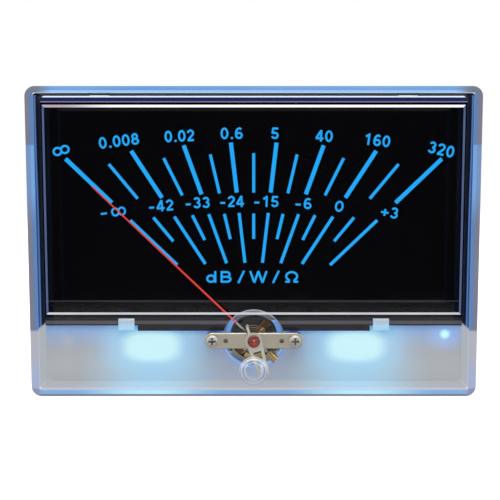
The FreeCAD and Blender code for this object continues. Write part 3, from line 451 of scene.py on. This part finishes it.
# Dial, print, diffuser and panel
def dial_black():
    """Deep gloss, with painted light on a turned top edge, a paler painted lip along its foot and painted
    blue glow at its lowest edge.
    """
    g = Graph("dial_black")
    _, _, z = g.place()
    g.set(Base_Color=(0.0012, 0.0012, 0.0018), Specular_IOR_Level=0.22)
    g.set(Roughness=g.spread(g.noise(140, 4), 0.05, 0.12))
    g.bump(g.noise(900, 2), 0.03, 0.02 * MM)
    soft = 0.12 * MM
    turned_edge = g.step(z, 42.3 * MM, 42.5 * MM)
    crease = g.band(z, 42.05 * MM, 42.3 * MM, soft)
    fold = g.band(z, -18.95 * MM, -18.75 * MM, soft)
    below_fold = g.step(z, -23.6 * MM, -24.2 * MM)
    lip = g.band(z, -26.05 * MM, -25.05 * MM, soft)
    tongue_edge = g.step(z, -27.95 * MM, -28.15 * MM)
    # Painted light on the black: lines along the top edge, paler bands near the foot, blue at the lowest edge
    light = g.layers(
        BLACK,
        (turned_edge, tone(30, 34, 84)),
        (crease, tone(118, 120, 152)),
        (fold, tone(52, 51, 58)),
        (below_fold, tone(34, 34, 38)),
        (lip, g.mix(g.noise(40, 3), tone(70, 70, 76), tone(88, 87, 92))),
        (tongue_edge, tone(20, 52, 120)),
    )
    g.set(Emission_Color=light, Emission_Strength=1.0)
    return g.material


def print_blue():
    g = Graph("print_blue")
    # The print glows with painted backlight, as if the lamps shone through it
    g.set(Base_Color=(0.002, 0.02, 0.05), Roughness=0.5, Specular_IOR_Level=0.1, Emission_Color=PRINT_GLOW)
    g.set(Emission_Strength=g.spread(g.noise(40, 2), 0.92, 1.0))
    return g.material


def milky_acrylic():
    g = Graph("milky_acrylic")
    # The diffuser glows with painted light from the lamps behind it
    g.set(Base_Color=(0.75, 0.85, 0.92), Roughness=0.35, Emission_Color=LAMP_BLUE)
    g.set(Emission_Strength=g.spread(g.noise(30, 2), 0.5, 0.9))
    g.bump(g.noise(600, 3), 0.1, 0.03 * MM)
    return g.material


def nearest_lamp(g):
    """How far a place is from the nearer lamp, in half widths of its squarish spot."""
    half_width, half_height, squareness = 10 * MM, 5.6 * MM, 2.8
    left = radial(g, LEFT_LAMP_X, LAMP_Z, half_width, half_height, squareness)
    right = radial(g, RIGHT_LAMP_X, LAMP_Z, half_width, half_height, squareness)
    return g.math("MINIMUM", left, right)


def white_panel():
    """Satin plastic with painted light: the two lamp spots, bluer round them, under the dial and in the well.
    """
    g = Graph("white_panel")
    x, y, z = g.place()
    across = g.unsigned(x)
    middle = g.step(across, 62 * MM, 12 * MM)
    centre = g.step(across, 24 * MM, 8 * MM)
    foot = g.step(z, -33 * MM, -40 * MM)
    under_dial = g.step(z, -35 * MM, -27 * MM)
    top_edge = g.step(z, 42 * MM, 43.2 * MM)
    clip = g.under(y, -5.55 * MM)
    from_lamp = nearest_lamp(g)
    lamp_core = g.step(from_lamp, 1.12, 0.6)
    lamp_halo = g.step(from_lamp, 1.9, 0.85)
    by_lamp = lamp_near(g, 25 * MM)

    # Painted light: a small bright spot near the right end, and a faint reddish one near the left end
    spot = g.step(radial(g, 59.5 * MM, -29.4 * MM, 1.6 * MM, 1.5 * MM), 1.4, 0.2)
    spot_halo = g.step(radial(g, 59.5 * MM, -30.0 * MM, 8 * MM, 6 * MM), 1.0, 0.1)
    red_spot = g.step(radial(g, -57.8 * MM, -31.0 * MM, 2.2 * MM, 1.8 * MM), 1.2, 0.2)

    from_pivot = distance(g, 0.0, pivot_z)
    well = g.step(from_pivot, 9.7 * MM, 9.5 * MM)
    well_shade = g.step(from_pivot, 12.5 * MM, 9.5 * MM)
    well_upper = g.step(z, pivot_z - 3 * MM, pivot_z + 1 * MM)

    grey = g.mix(g.noise(70, 3), (0.325, 0.338, 0.350), (0.350, 0.362, 0.372))
    # The base colour is painted bluer where the lamps' light falls
    lamp_tint = g.most(g.times(under_dial, 0.9), g.times(middle, 0.55), g.times(by_lamp, 0.5))
    g.set(Base_Color=g.mix(lamp_tint, grey, (0.23, 0.325, 0.40)), Roughness=0.42)
    # Painted light over the whole panel, with a painted highlight along the top edge
    light = g.layers(
        g.mix(foot, tone(56, 60, 70), tone(78, 80, 82)),
        (centre, g.mix(foot, tone(62, 66, 102), tone(92, 94, 112))),
        (under_dial, tone(26, 70, 134)),
        (g.times(by_lamp, 0.9), g.mix(foot, tone(44, 106, 160), tone(84, 142, 172))),
        (g.times(lamp_halo, 0.75), tone(78, 150, 182)),
        (g.times(well_shade, 0.6), tone(48, 92, 160)),
        (spot_halo, tone(48, 98, 166)),
        (red_spot, tone(84, 70, 100)),
        (lamp_core, tone(146, 192, 197)),
        (spot, tone(150, 216, 226)),
        (well, g.mix(well_upper, tone(104, 142, 196), tone(98, 166, 240))),
        (top_edge, tone(214, 226, 248)),
        (clip, g.mix(g.step(z, -26.6 * MM, -25.4 * MM), tone(96, 146, 176), tone(110, 112, 122))),
    )
    g.set(Emission_Color=light, Emission_Strength=1.0)
    g.bump(g.noise(1100, 3), 0.12, 0.03 * MM)
    return g.material


def case_plastic():
    """The rear case: satin moulded plastic, slightly uneven in tone."""
    g = Graph("case_plastic")
    pale_grey = (0.55, 0.57, 0.58)
    g.set(Base_Color=g.mix(g.noise(60, 3), darker(pale_grey, 0.93), pale_grey))
    g.set(Roughness=g.spread(g.noise(300, 3), 0.40, 0.53))
    g.bump(g.noise(1400, 4), 0.15, 0.04 * MM)
    return g.material


# Metals
def front_faces(g, front_y, back_y):
    """1 on the faces that look to the front in a range of Y."""
    _, y, _ = g.place()
    _, ny, _ = g.facing()
    return g.times(g.band(y, front_y, back_y, 0.02 * MM), g.under(ny, -0.9))


def metal(name, colour, roughness, stretch=(1, 1, 1), scale=900, metallic=1.0, strength=0.12,
          deep=None, lit=None):
    """Metal with fine tool marks along one direction and small changes of tone.

    deep is a range of Y over which a recess that opens to the front gets painted shade. lit is the range
    of Y of a front face with a painted reflection of the blue of the well, on its upper side.
    """
    g = Graph(name)
    grain = g.noise(scale, 4, 0.6, stretch)
    shade = g.mix(g.noise(160, 3), darker(colour, 0.85), colour)
    # Painted shade in the recess
    if deep:
        shade = g.mix(g.times(front_faces(g, *deep), 0.7), shade, (0.03, 0.028, 0.025))
    # Painted reflection of the well's blue, on the upper side only
    if lit:
        glow = g.times(front_faces(g, *lit), upper_side(g, pivot_z), 0.8)
        g.set(Emission_Color=tone(84, 146, 226), Emission_Strength=glow)
    g.set(Base_Color=shade, Metallic=metallic)
    g.set(Roughness=g.spread(grain, max(roughness - 0.08, 0.04), roughness + 0.1))
    g.bump(grain, strength, 0.02 * MM)
    return g.material


def lacquered():
    """Red lacquer on the jewel screw, with painted shade towards its rim and a painted highlight, a drop of
    light, in the middle.
    """
    g = Graph("lacquered_brass")
    grain = g.noise(700, 4, 0.6)
    head_radius = 1.87 * MM
    # Painted shade towards the rim
    rim = g.step(radial(g, 0.0, pivot_z, head_radius, head_radius), 0.72, 0.98)
    # Painted highlight in the middle
    glint_spot = g.step(radial(g, 0.05 * MM, pivot_z + 0.35 * MM, 0.42 * MM, 0.5 * MM), 1.0, 0.3)
    red = g.layers(
        g.mix(g.step(grain, 0.35, 0.7), (0.14, 0.014, 0.010), (0.34, 0.040, 0.022)),
        (rim, (0.09, 0.010, 0.008)),
        (g.times(glint_spot, 0.7), (0.85, 0.42, 0.32)),
    )
    g.set(Base_Color=red, Roughness=0.25, Metallic=0.3, Coat_Weight=0.5, Coat_Roughness=0.1)
    g.bump(grain, 0.25, 0.05 * MM)
    return g.material


def winding():
    """Fine enamelled wire, wound side by side round the coil."""
    g = Graph("enamelled_copper")
    wave = g.new("ShaderNodeTexWave", wave_type="BANDS", bands_direction="DIAGONAL")
    wave.inputs["Scale"].default_value = 2600
    wave.inputs["Distortion"].default_value = 0.4
    g.link(g.coordinates.outputs["Object"], wave.inputs["Vector"])
    turns = wave.outputs["Fac"]
    copper = g.mix(g.noise(400, 3), (0.20, 0.085, 0.03), (0.42, 0.19, 0.07))
    g.set(Base_Color=g.mix(turns, (0.06, 0.03, 0.015), copper), Metallic=0.6, Roughness=0.35)
    g.bump(turns, 0.4, 0.06 * MM)
    return g.material


# Small pieces
def circuit_board():
    g = Graph("circuit_board")
    g.set(Base_Color=g.mix(g.noise(500, 3), (0.62, 0.66, 0.60), (0.72, 0.75, 0.70)), Roughness=0.3)
    g.bump(g.noise(900, 2), 0.08, 0.02 * MM)
    return g.material


def lamp_glow():
    g = Graph("led")
    g.set(Base_Color=(0.6, 0.85, 0.95), Roughness=0.2, Emission_Color=LAMP_WHITE)
    g.set(Emission_Strength=g.spread(g.noise(900, 2), 0.8, 1.1))
    return g.material


def jewel_glass():
    g = Graph("jewel")
    g.set(Base_Color=g.mix(g.noise(900, 2), (0.40, 0.02, 0.04), (0.62, 0.05, 0.08)), Roughness=0.05)
    g.set(Coat_Weight=1.0, Coat_Roughness=0.03)
    return g.material


def pointer_paint():
    """Red from the tip to near the hub, then bare bright metal. The red part glows faintly, as painted light.
    """
    g = Graph("pointer_paint")
    painted = g.step(distance(g, 0.0, pivot_z), 6.6 * MM, 7.8 * MM)
    red = g.mix(g.noise(500, 3), (0.44, 0.020, 0.014), (0.56, 0.035, 0.024))
    g.set(Base_Color=g.mix(painted, (0.62, 0.60, 0.58), red), Roughness=0.38)
    g.set(Metallic=g.math("SUBTRACT", 1.0, painted), Emission_Color=(0.62, 0.025, 0.02))
    g.set(Emission_Strength=g.times(painted, 0.16))
    g.bump(g.noise(900, 3), 0.1, 0.02 * MM)
    return g.material


# Recesses with painted shade, and front faces with a painted reflection of the well, as ranges of Y
SCREW_RECESSES = (-11.6 * MM, -11.1 * MM)
BRIDGE_DIMPLES = (-10.45 * MM, -10.2 * MM)
YOKE_FRONT = (-3.1 * MM, -2.9 * MM)
WEB_FRONTS = (-2.5 * MM, -2.3 * MM)

materials = {
    "clear_acrylic": clear_cover(),
    "clear_adjuster": clear_adjuster(),
    "dial_black": dial_black(),
    "print_blue": print_blue(),
    "milky_acrylic": milky_acrylic(),
    "white_plastic": white_panel(),
    "case_plastic": case_plastic(),
    "zinc_screw": metal("zinc_screw", (0.66, 0.66, 0.63), 0.32, (1, 6, 1)),
    "stud_steel": metal("stud_steel", (0.58, 0.58, 0.58), 0.3, (1, 5, 1)),
    "tinned_brass": metal("tinned_brass", (0.72, 0.70, 0.64), 0.28, (8, 1, 1)),
    "circuit_board": circuit_board(),
    "led": lamp_glow(),
    "die_cast": metal("die_cast", (0.52, 0.53, 0.54), 0.5, scale=500, strength=0.3),
    "soft_iron": metal("soft_iron", (0.36, 0.35, 0.33), 0.42, (1, 8, 1), lit=YOKE_FRONT),
    "magnet": metal("magnet", (0.16, 0.15, 0.14), 0.5, scale=700, metallic=0.7, strength=0.3),
    "brass": metal("brass", (0.66, 0.48, 0.22), 0.3, (1, 7, 1), lit=WEB_FRONTS),
    "nickel": metal("nickel", (0.50, 0.46, 0.375), 0.36, (0.2, 1, 6), metallic=0.75, deep=BRIDGE_DIMPLES),
    "lever_nickel": metal("lever_nickel", (0.62, 0.585, 0.51), 0.42, (0.2, 1, 6), metallic=0.5),
    "bright_screw": metal("bright_screw", (0.54, 0.52, 0.48), 0.42, metallic=0.8, deep=SCREW_RECESSES),
    "lacquered_brass": lacquered(),
    "jewel": jewel_glass(),
    "bronze_wire": metal("bronze_wire", (0.64, 0.46, 0.30), 0.3),
    "former_foil": metal("former_foil", (0.66, 0.66, 0.67), 0.35),
    "enamelled_copper": winding(),
    "pivot_steel": metal("pivot_steel", (0.62, 0.62, 0.64), 0.16),
    "pointer_paint": pointer_paint(),
}

finish_of = {part["node"]: part["material_slot"] for part in frame["record"]["subparts"]}
finish_of.update(zero_adjuster="clear_adjuster", rear_case="case_plastic", zero_lever="lever_nickel")
for name, node in nodes.items():
    node.data.materials.clear()
    node.data.materials.append(materials[finish_of[name]])


# Printed scale: thin shapes that stand on the dial's face
PRINT_RISE = 0.03 * MM
print_front = dial_front - PRINT_RISE


def finished_piece(name, mesh, body, material):
    piece = bpy.data.objects.new(name, mesh)
    bpy.context.scene.collection.objects.link(piece)
    piece.data.materials.append(materials[material])
    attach(piece, body)


def finish_print(name, mesh):
    """One printed piece of all the shapes in a bmesh."""
    bmesh.ops.recalc_face_normals(mesh, faces=mesh.faces)
    data = bpy.data.meshes.new(name)
    mesh.to_mesh(data)
    mesh.free()
    finished_piece(name, data, "case", "print_blue")


def slab(mesh, outline):
    """Add a thin printed shape, from (x, z) points to its own thickness, to a bmesh."""
    front = [mesh.verts.new((x, print_front, z)) for x, z in outline]
    back = [mesh.verts.new((x, dial_front, z)) for x, z in outline]
    mesh.faces.new(front)
    mesh.faces.new(list(reversed(back)))
    count = len(outline)
    for i in range(count):
        j = (i + 1) % count
        mesh.faces.new((front[j], front[i], back[i], back[j]))


def on_dial(angle, radius):
    """The place at an angle from straight up, clockwise, and a distance from the movement's axis."""
    turn = math.radians(angle)
    return Vector((radius * math.sin(turn), pivot_z + radius * math.cos(turn)))


# Long ticks, short ticks between them, and the angle at which a flattened arc's side distances hold
MAJOR_TICKS = 8
TICK_STEP = 13.15
SIDE_ANGLE = 46
major_angles = [TICK_STEP * (i - (MAJOR_TICKS - 1) / 2) for i in range(MAJOR_TICKS)]
minor_angles = [angle + TICK_STEP / 2 for angle in major_angles[:-1]]


def squashed(angle, at_middle, at_side):
    """A distance along a flattened arc: at_middle straight up, at_side at the side angle."""
    share = (1 / math.cos(math.radians(angle)) - 1) / (1 / math.cos(math.radians(SIDE_ANGLE)) - 1)
    return at_middle + (at_side - at_middle) * share


def ticks(name, angles, outer, inner, width):
    """Ticks in millimetres. Their ends lie on two flattened arcs, each given as (at_middle, at_side)."""
    mesh = bmesh.new()
    for angle in angles:
        start = on_dial(angle, squashed(angle, *inner) * MM)
        end = on_dial(angle, squashed(angle, *outer) * MM)
        along = (end - start).normalized()
        side = Vector((along.y, -along.x)) * width * MM / 2
        slab(mesh, [start - side, end - side, end + side, start + side])
    finish_print(name, mesh)


ticks("outer_major_ticks", major_angles, outer=(60.3, 79.6), inner=(45.1, 60.3), width=1.25)
ticks("outer_minor_ticks", minor_angles, outer=(57.0, 75.6), inner=(45.0, 61.2), width=0.92)
ticks("inner_major_ticks", major_angles, outer=(38.8, 52.6), inner=(23.4, 32.7), width=0.95)
ticks("inner_minor_ticks", minor_angles, outer=(38.6, 53.2), inner=(30.8, 42.9), width=0.92)


def arc(cx, cy, rx, ry, start, end, count=14):
    """Points along an ellipse, by angles from +X towards +Z in degrees."""
    angles = [math.radians(start + (end - start) * i / count) for i in range(count + 1)]
    return [(cx + rx * math.cos(a), cy + ry * math.sin(a)) for a in angles]


def ring(cx, cy, rx, ry):
    return arc(cx, cy, rx, ry, 0, 360, 28)


# Each sign: its step to the next one, then the middle lines of its strokes, in heights
SIGNS = {
    "0": (0.76, [ring(0.36, 0.5, 0.235, 0.415)]),
    "1": (0.76, [[(0.42, 0.0), (0.42, 1.0)], [(0.42, 0.90), (0.15, 0.70)]]),
    "2": (0.76, [arc(0.35, 0.69, 0.225, 0.225, 172, -32) + [(0.16, 0.14)], [(0.08, 0.085), (0.62, 0.085)]]),
    "3": (0.76, [arc(0.34, 0.71, 0.20, 0.205, 160, -90), arc(0.34, 0.295, 0.235, 0.21, 90, -162)]),
    "4": (0.76, [[(0.44, 0.94), (0.07, 0.27)], [(0.03, 0.27), (0.68, 0.27)], [(0.47, 0.0), (0.47, 1.0)]]),
    "5": (0.76, [[(0.13, 0.915), (0.60, 0.915)], [(0.19, 0.93), (0.13, 0.47)],
                 arc(0.33, 0.315, 0.24, 0.23, 138, -160)]),
    "6": (0.76, [ring(0.37, 0.305, 0.225, 0.22), arc(0.40, 0.44, 0.265, 0.475, 196, 52)]),
    "8": (0.76, [ring(0.36, 0.71, 0.19, 0.205), ring(0.36, 0.295, 0.235, 0.21)]),
    ".": (0.39, [[(0.19, 0.0), (0.19, 0.18)]]),
    "-": (0.66, [[(0.06, 0.38), (0.48, 0.38)]]),
    "+": (0.80, [[(0.07, 0.42), (0.69, 0.42)], [(0.38, 0.11), (0.38, 0.73)]]),
    "/": (0.44, [[(0.04, -0.03), (0.38, 1.03)]]),
    " ": (0.22, []),
    "d": (0.80, [ring(0.33, 0.35, 0.215, 0.275), [(0.585, 0.0), (0.585, 1.0)]]),
    "B": (0.88, [[(0.16, 0.0), (0.16, 1.0)],
                 [(0.16, 0.915)] + arc(0.44, 0.71, 0.19, 0.205, 90, -90) + [(0.16, 0.505)],
                 [(0.16, 0.505)] + arc(0.46, 0.295, 0.22, 0.21, 90, -90) + [(0.16, 0.085)]]),
    "W": (1.16, [[(0.08, 1.0), (0.32, 0.0)], [(0.32, 0.0), (0.56, 1.0)], [(0.56, 1.0), (0.80, 0.0)],
                 [(0.80, 0.0), (1.04, 1.0)]]),
    "Ω": (0.98, [arc(0.48, 0.55, 0.32, 0.365, -58, 238, 24), [(0.10, 0.085), (0.37, 0.085)],
                 [(0.59, 0.085), (0.86, 0.085)], [(0.32, 0.27), (0.32, 0.05)], [(0.64, 0.27), (0.64, 0.05)]]),
}
SIGN_STROKE = 0.18


def ribbon(mesh, points, width):
    """Add a printed stroke of even width along a line of places, closed where the line's ends meet."""
    ends_meet = 0.05
    closed = (points[0] - points[-1]).length < width * ends_meet
    if closed:
        points = points[:-1]
    count = len(points)
    rows = []
    for i, point in enumerate(points):
        before = points[i - 1] if closed or i > 0 else point
        after = points[(i + 1) % count] if closed or i < count - 1 else point
        along = (after - before).normalized()
        side = Vector((along.y, -along.x)) * width / 2
        rows.append([
            mesh.verts.new((place.x, depth, place.y))
            for place in (point - side, point + side)
            for depth in (print_front, dial_front)
        ])
    last = count if closed else count - 1
    for i in range(last):
        a, b = rows[i], rows[(i + 1) % count]
        mesh.faces.new((a[0], b[0], b[2], a[2]))
        mesh.faces.new((a[1], a[3], b[3], b[1]))
        mesh.faces.new((a[0], a[1], b[1], b[0]))
        mesh.faces.new((a[2], b[2], b[3], a[3]))
    if not closed:
        for row in (rows[0], rows[-1]):
            mesh.faces.new((row[0], row[2], row[3], row[1]))


def printed_lines(name, lines, width):
    """One printed piece of several strokes, in metres."""
    mesh = bmesh.new()
    for line in lines:
        ribbon(mesh, [Vector(p) for p in line], width)
    finish_print(name, mesh)


def turned_place(x, z, across, up, turn):
    """A place in metres from one in millimetres beside the centre x, z, turned clockwise in degrees."""
    c, s = math.cos(math.radians(turn)), math.sin(math.radians(turn))
    return ((x + across * c + up * s) * MM, (z - across * s + up * c) * MM)


def dial_text(name, words, x, z, height, width, turn=0.0):
    """Plain lettering round a centre in millimetres, stretched to a width and turned clockwise in degrees."""
    lines = []
    start = 0.0
    for sign in words:
        step, strokes = SIGNS[sign]
        lines += [[(start + px, py) for px, py in stroke] for stroke in strokes]
        start += step
    low = min(px for line in lines for px, _ in line) - SIGN_STROKE / 2
    high = max(px for line in lines for px, _ in line) + SIGN_STROKE / 2
    middle = (low + high) / 2
    stretch = width / (high - low)
    placed = [
        [turned_place(x, z, (px - middle) * stretch, (py - 0.5) * height, turn) for px, py in line]
        for line in lines
    ]
    printed_lines(name, placed, SIGN_STROKE * height * MM)


def endless_sign(name, x, z, width, height, stroke, turn=0.0, dash=False):
    """The lying eight in millimetres: two rings that touch, with a minus sign before it where asked."""
    dash_start = 3.5
    dash_length = 1.9
    half = width / 4
    rings = [ring(side * half, 0, half, height / 2) for side in (-1, 1)]
    if dash:
        left = -width / 2 - dash_start
        rings.append([(left, 0.0), (left + dash_length, 0.0)])
    placed = [[turned_place(x, z, px, py, turn) for px, py in line] for line in rings]
    printed_lines(name, placed, stroke * MM)


OUTER_HEIGHT = 3.5
INNER_HEIGHT = 3.4
endless_sign("outer_endless", -58.6, 27.5, 4.7, 2.15, 0.64, -15)
dial_text("outer_0008", "0.008", -41.0, 30.4, OUTER_HEIGHT, 12.3, -7)
dial_text("outer_002", "0.02", -22.5, 31.9, OUTER_HEIGHT, 9.2, -3)
dial_text("outer_06", "0.6", -6.7, 32.7, OUTER_HEIGHT, 6.8, -1)
dial_text("outer_5", "5", 6.5, 32.7, OUTER_HEIGHT, 2.5, 1)
dial_text("outer_40", "40", 21.3, 31.9, OUTER_HEIGHT, 5.5, 3)
dial_text("outer_160", "160", 37.6, 30.6, OUTER_HEIGHT, 7.9, 7)
dial_text("outer_320", "320", 57.1, 27.8, OUTER_HEIGHT + 0.1, 8.0, 13)
endless_sign("inner_endless", -41.4, 8.9, 4.0, 2.2, 0.6, -8, dash=True)
dial_text("inner_m42", "-42", -28.4, 10.7, INNER_HEIGHT, 8.0, -4)
dial_text("inner_m33", "-33", -17.3, 11.6, INNER_HEIGHT, 7.7, -2)
dial_text("inner_m24", "-24", -6.6, 12.0, INNER_HEIGHT, 7.9, -1)
dial_text("inner_m15", "-15", 3.8, 12.0, INNER_HEIGHT, 7.9, 1)
dial_text("inner_m6", "-6", 15.1, 11.4, INNER_HEIGHT, 5.3, 2)
dial_text("inner_0", "0", 26.2, 10.5, INNER_HEIGHT, 2.8, 11)
dial_text("inner_p3", "+3", 41.5, 8.7, INNER_HEIGHT, 5.6, 9)
dial_text("unit_legend", "dB / W / Ω", -0.3, -11.3, 3.6, 29.0)


# Floor, world, lamps and camera
def stage_floor():
    """A pale floor that looks white to the camera."""
    floor_z = cad_low[2] - 0.05 * MM
    data = bpy.data.meshes.new("floor")
    width, front, back = 0.9, -0.16, 0.9
    data.from_pydata(
        [(-width, front, floor_z), (width, front, floor_z), (width, back, floor_z), (-width, back, floor_z)],
        [], [(0, 1, 2, 3)]
    )
    floor = bpy.data.objects.new("floor", data)
    bpy.context.scene.collection.objects.link(floor)
    g = Graph("floor")
    g.set(Base_Color=(0.6, 0.6, 0.6), Roughness=0.9, Specular_IOR_Level=0.1)
    path = g.new("ShaderNodeLightPath")
    g.set(Emission_Color=(1, 1, 1), Emission_Strength=g.times(path.outputs["Is Camera Ray"], 0.62))
    floor.data.materials.append(g.material)


def stage_world():
    """White to the camera, bright behind the meter and dim before it in reflections, and soft fill light."""
    front_level, fade, middle_level, fill_level = 0.05, 1.6, 1.05, 0.5
    world = bpy.data.worlds.new("studio")
    bpy.context.scene.world = world
    world.use_nodes = True
    tree = world.node_tree
    background = tree.nodes["Background"]
    background.inputs["Color"].default_value = (1, 1, 1, 1)
    ray = tree.nodes.new("ShaderNodeLightPath").outputs
    coordinates = tree.nodes.new("ShaderNodeTexCoord")
    split = tree.nodes.new("ShaderNodeSeparateXYZ")
    tree.links.new(coordinates.outputs["Generated"], split.inputs[0])

    def calc(operation, *values, clamp=False):
        node = tree.nodes.new("ShaderNodeMath")
        node.operation = operation
        node.use_clamp = clamp
        for socket, value in zip(node.inputs, values):
            if isinstance(value, bpy.types.NodeSocket):
                tree.links.new(value, socket)
            else:
                socket.default_value = value
        return node.outputs[0]

    level = calc("MULTIPLY_ADD", split.outputs["Y"], fade, middle_level, clamp=True)
    mirrored = calc("MAXIMUM", ray["Is Glossy Ray"], ray["Is Transmission Ray"])
    shown = calc("MULTIPLY", mirrored, calc("MAXIMUM", level, front_level))
    bright = calc("MAXIMUM", ray["Is Camera Ray"], shown)
    fill = calc("MULTIPLY", ray["Is Diffuse Ray"], fill_level)
    tree.links.new(calc("MAXIMUM", bright, fill), background.inputs["Strength"])


def aim(thing, place, target):
    """Put a lamp or camera at a place and turn it to a target."""
    thing.location = place
    thing.rotation_euler = (Vector(target) - Vector(place)).to_track_quat("-Z", "Y").to_euler()


def soft_lamp(name, place, size, power):
    data = bpy.data.lights.new(name, "AREA")
    data.shape = "RECTANGLE"
    data.size, data.size_y = size
    data.energy = power
    lamp = bpy.data.objects.new(name, data)
    bpy.context.scene.collection.objects.link(lamp)
    aim(lamp, place, (0, 0, 0))


def stage_camera():
    """From straight ahead and a little above, as in the photograph."""
    data = bpy.data.cameras.new("camera")
    data.lens = 65.7
    data.sensor_width = 36
    data.shift_x = -0.0074
    data.shift_y = -0.0122
    data.clip_start = 0.01
    camera = bpy.data.objects.new("camera", data)
    bpy.context.scene.collection.objects.link(camera)
    aim(camera, (0, -0.2846, 0.0273), (0, FACE_Y, 0))
    bpy.context.scene.camera = camera


stage_floor()
stage_world()
soft_lamp("top_softbox", (0.0, -0.25, 0.65), (0.7, 0.5), 4.4)
soft_lamp("left_softbox", (-0.6, -0.35, 0.25), (0.4, 0.6), 2.2)
soft_lamp("right_softbox", (0.6, -0.3, 0.2), (0.4, 0.6), 2.0)
soft_lamp("back_softbox", (0.0, 0.6, 0.5), (0.7, 0.5), 2.4)
stage_camera()
bpy.context.scene.view_settings.view_transform = "Standard"
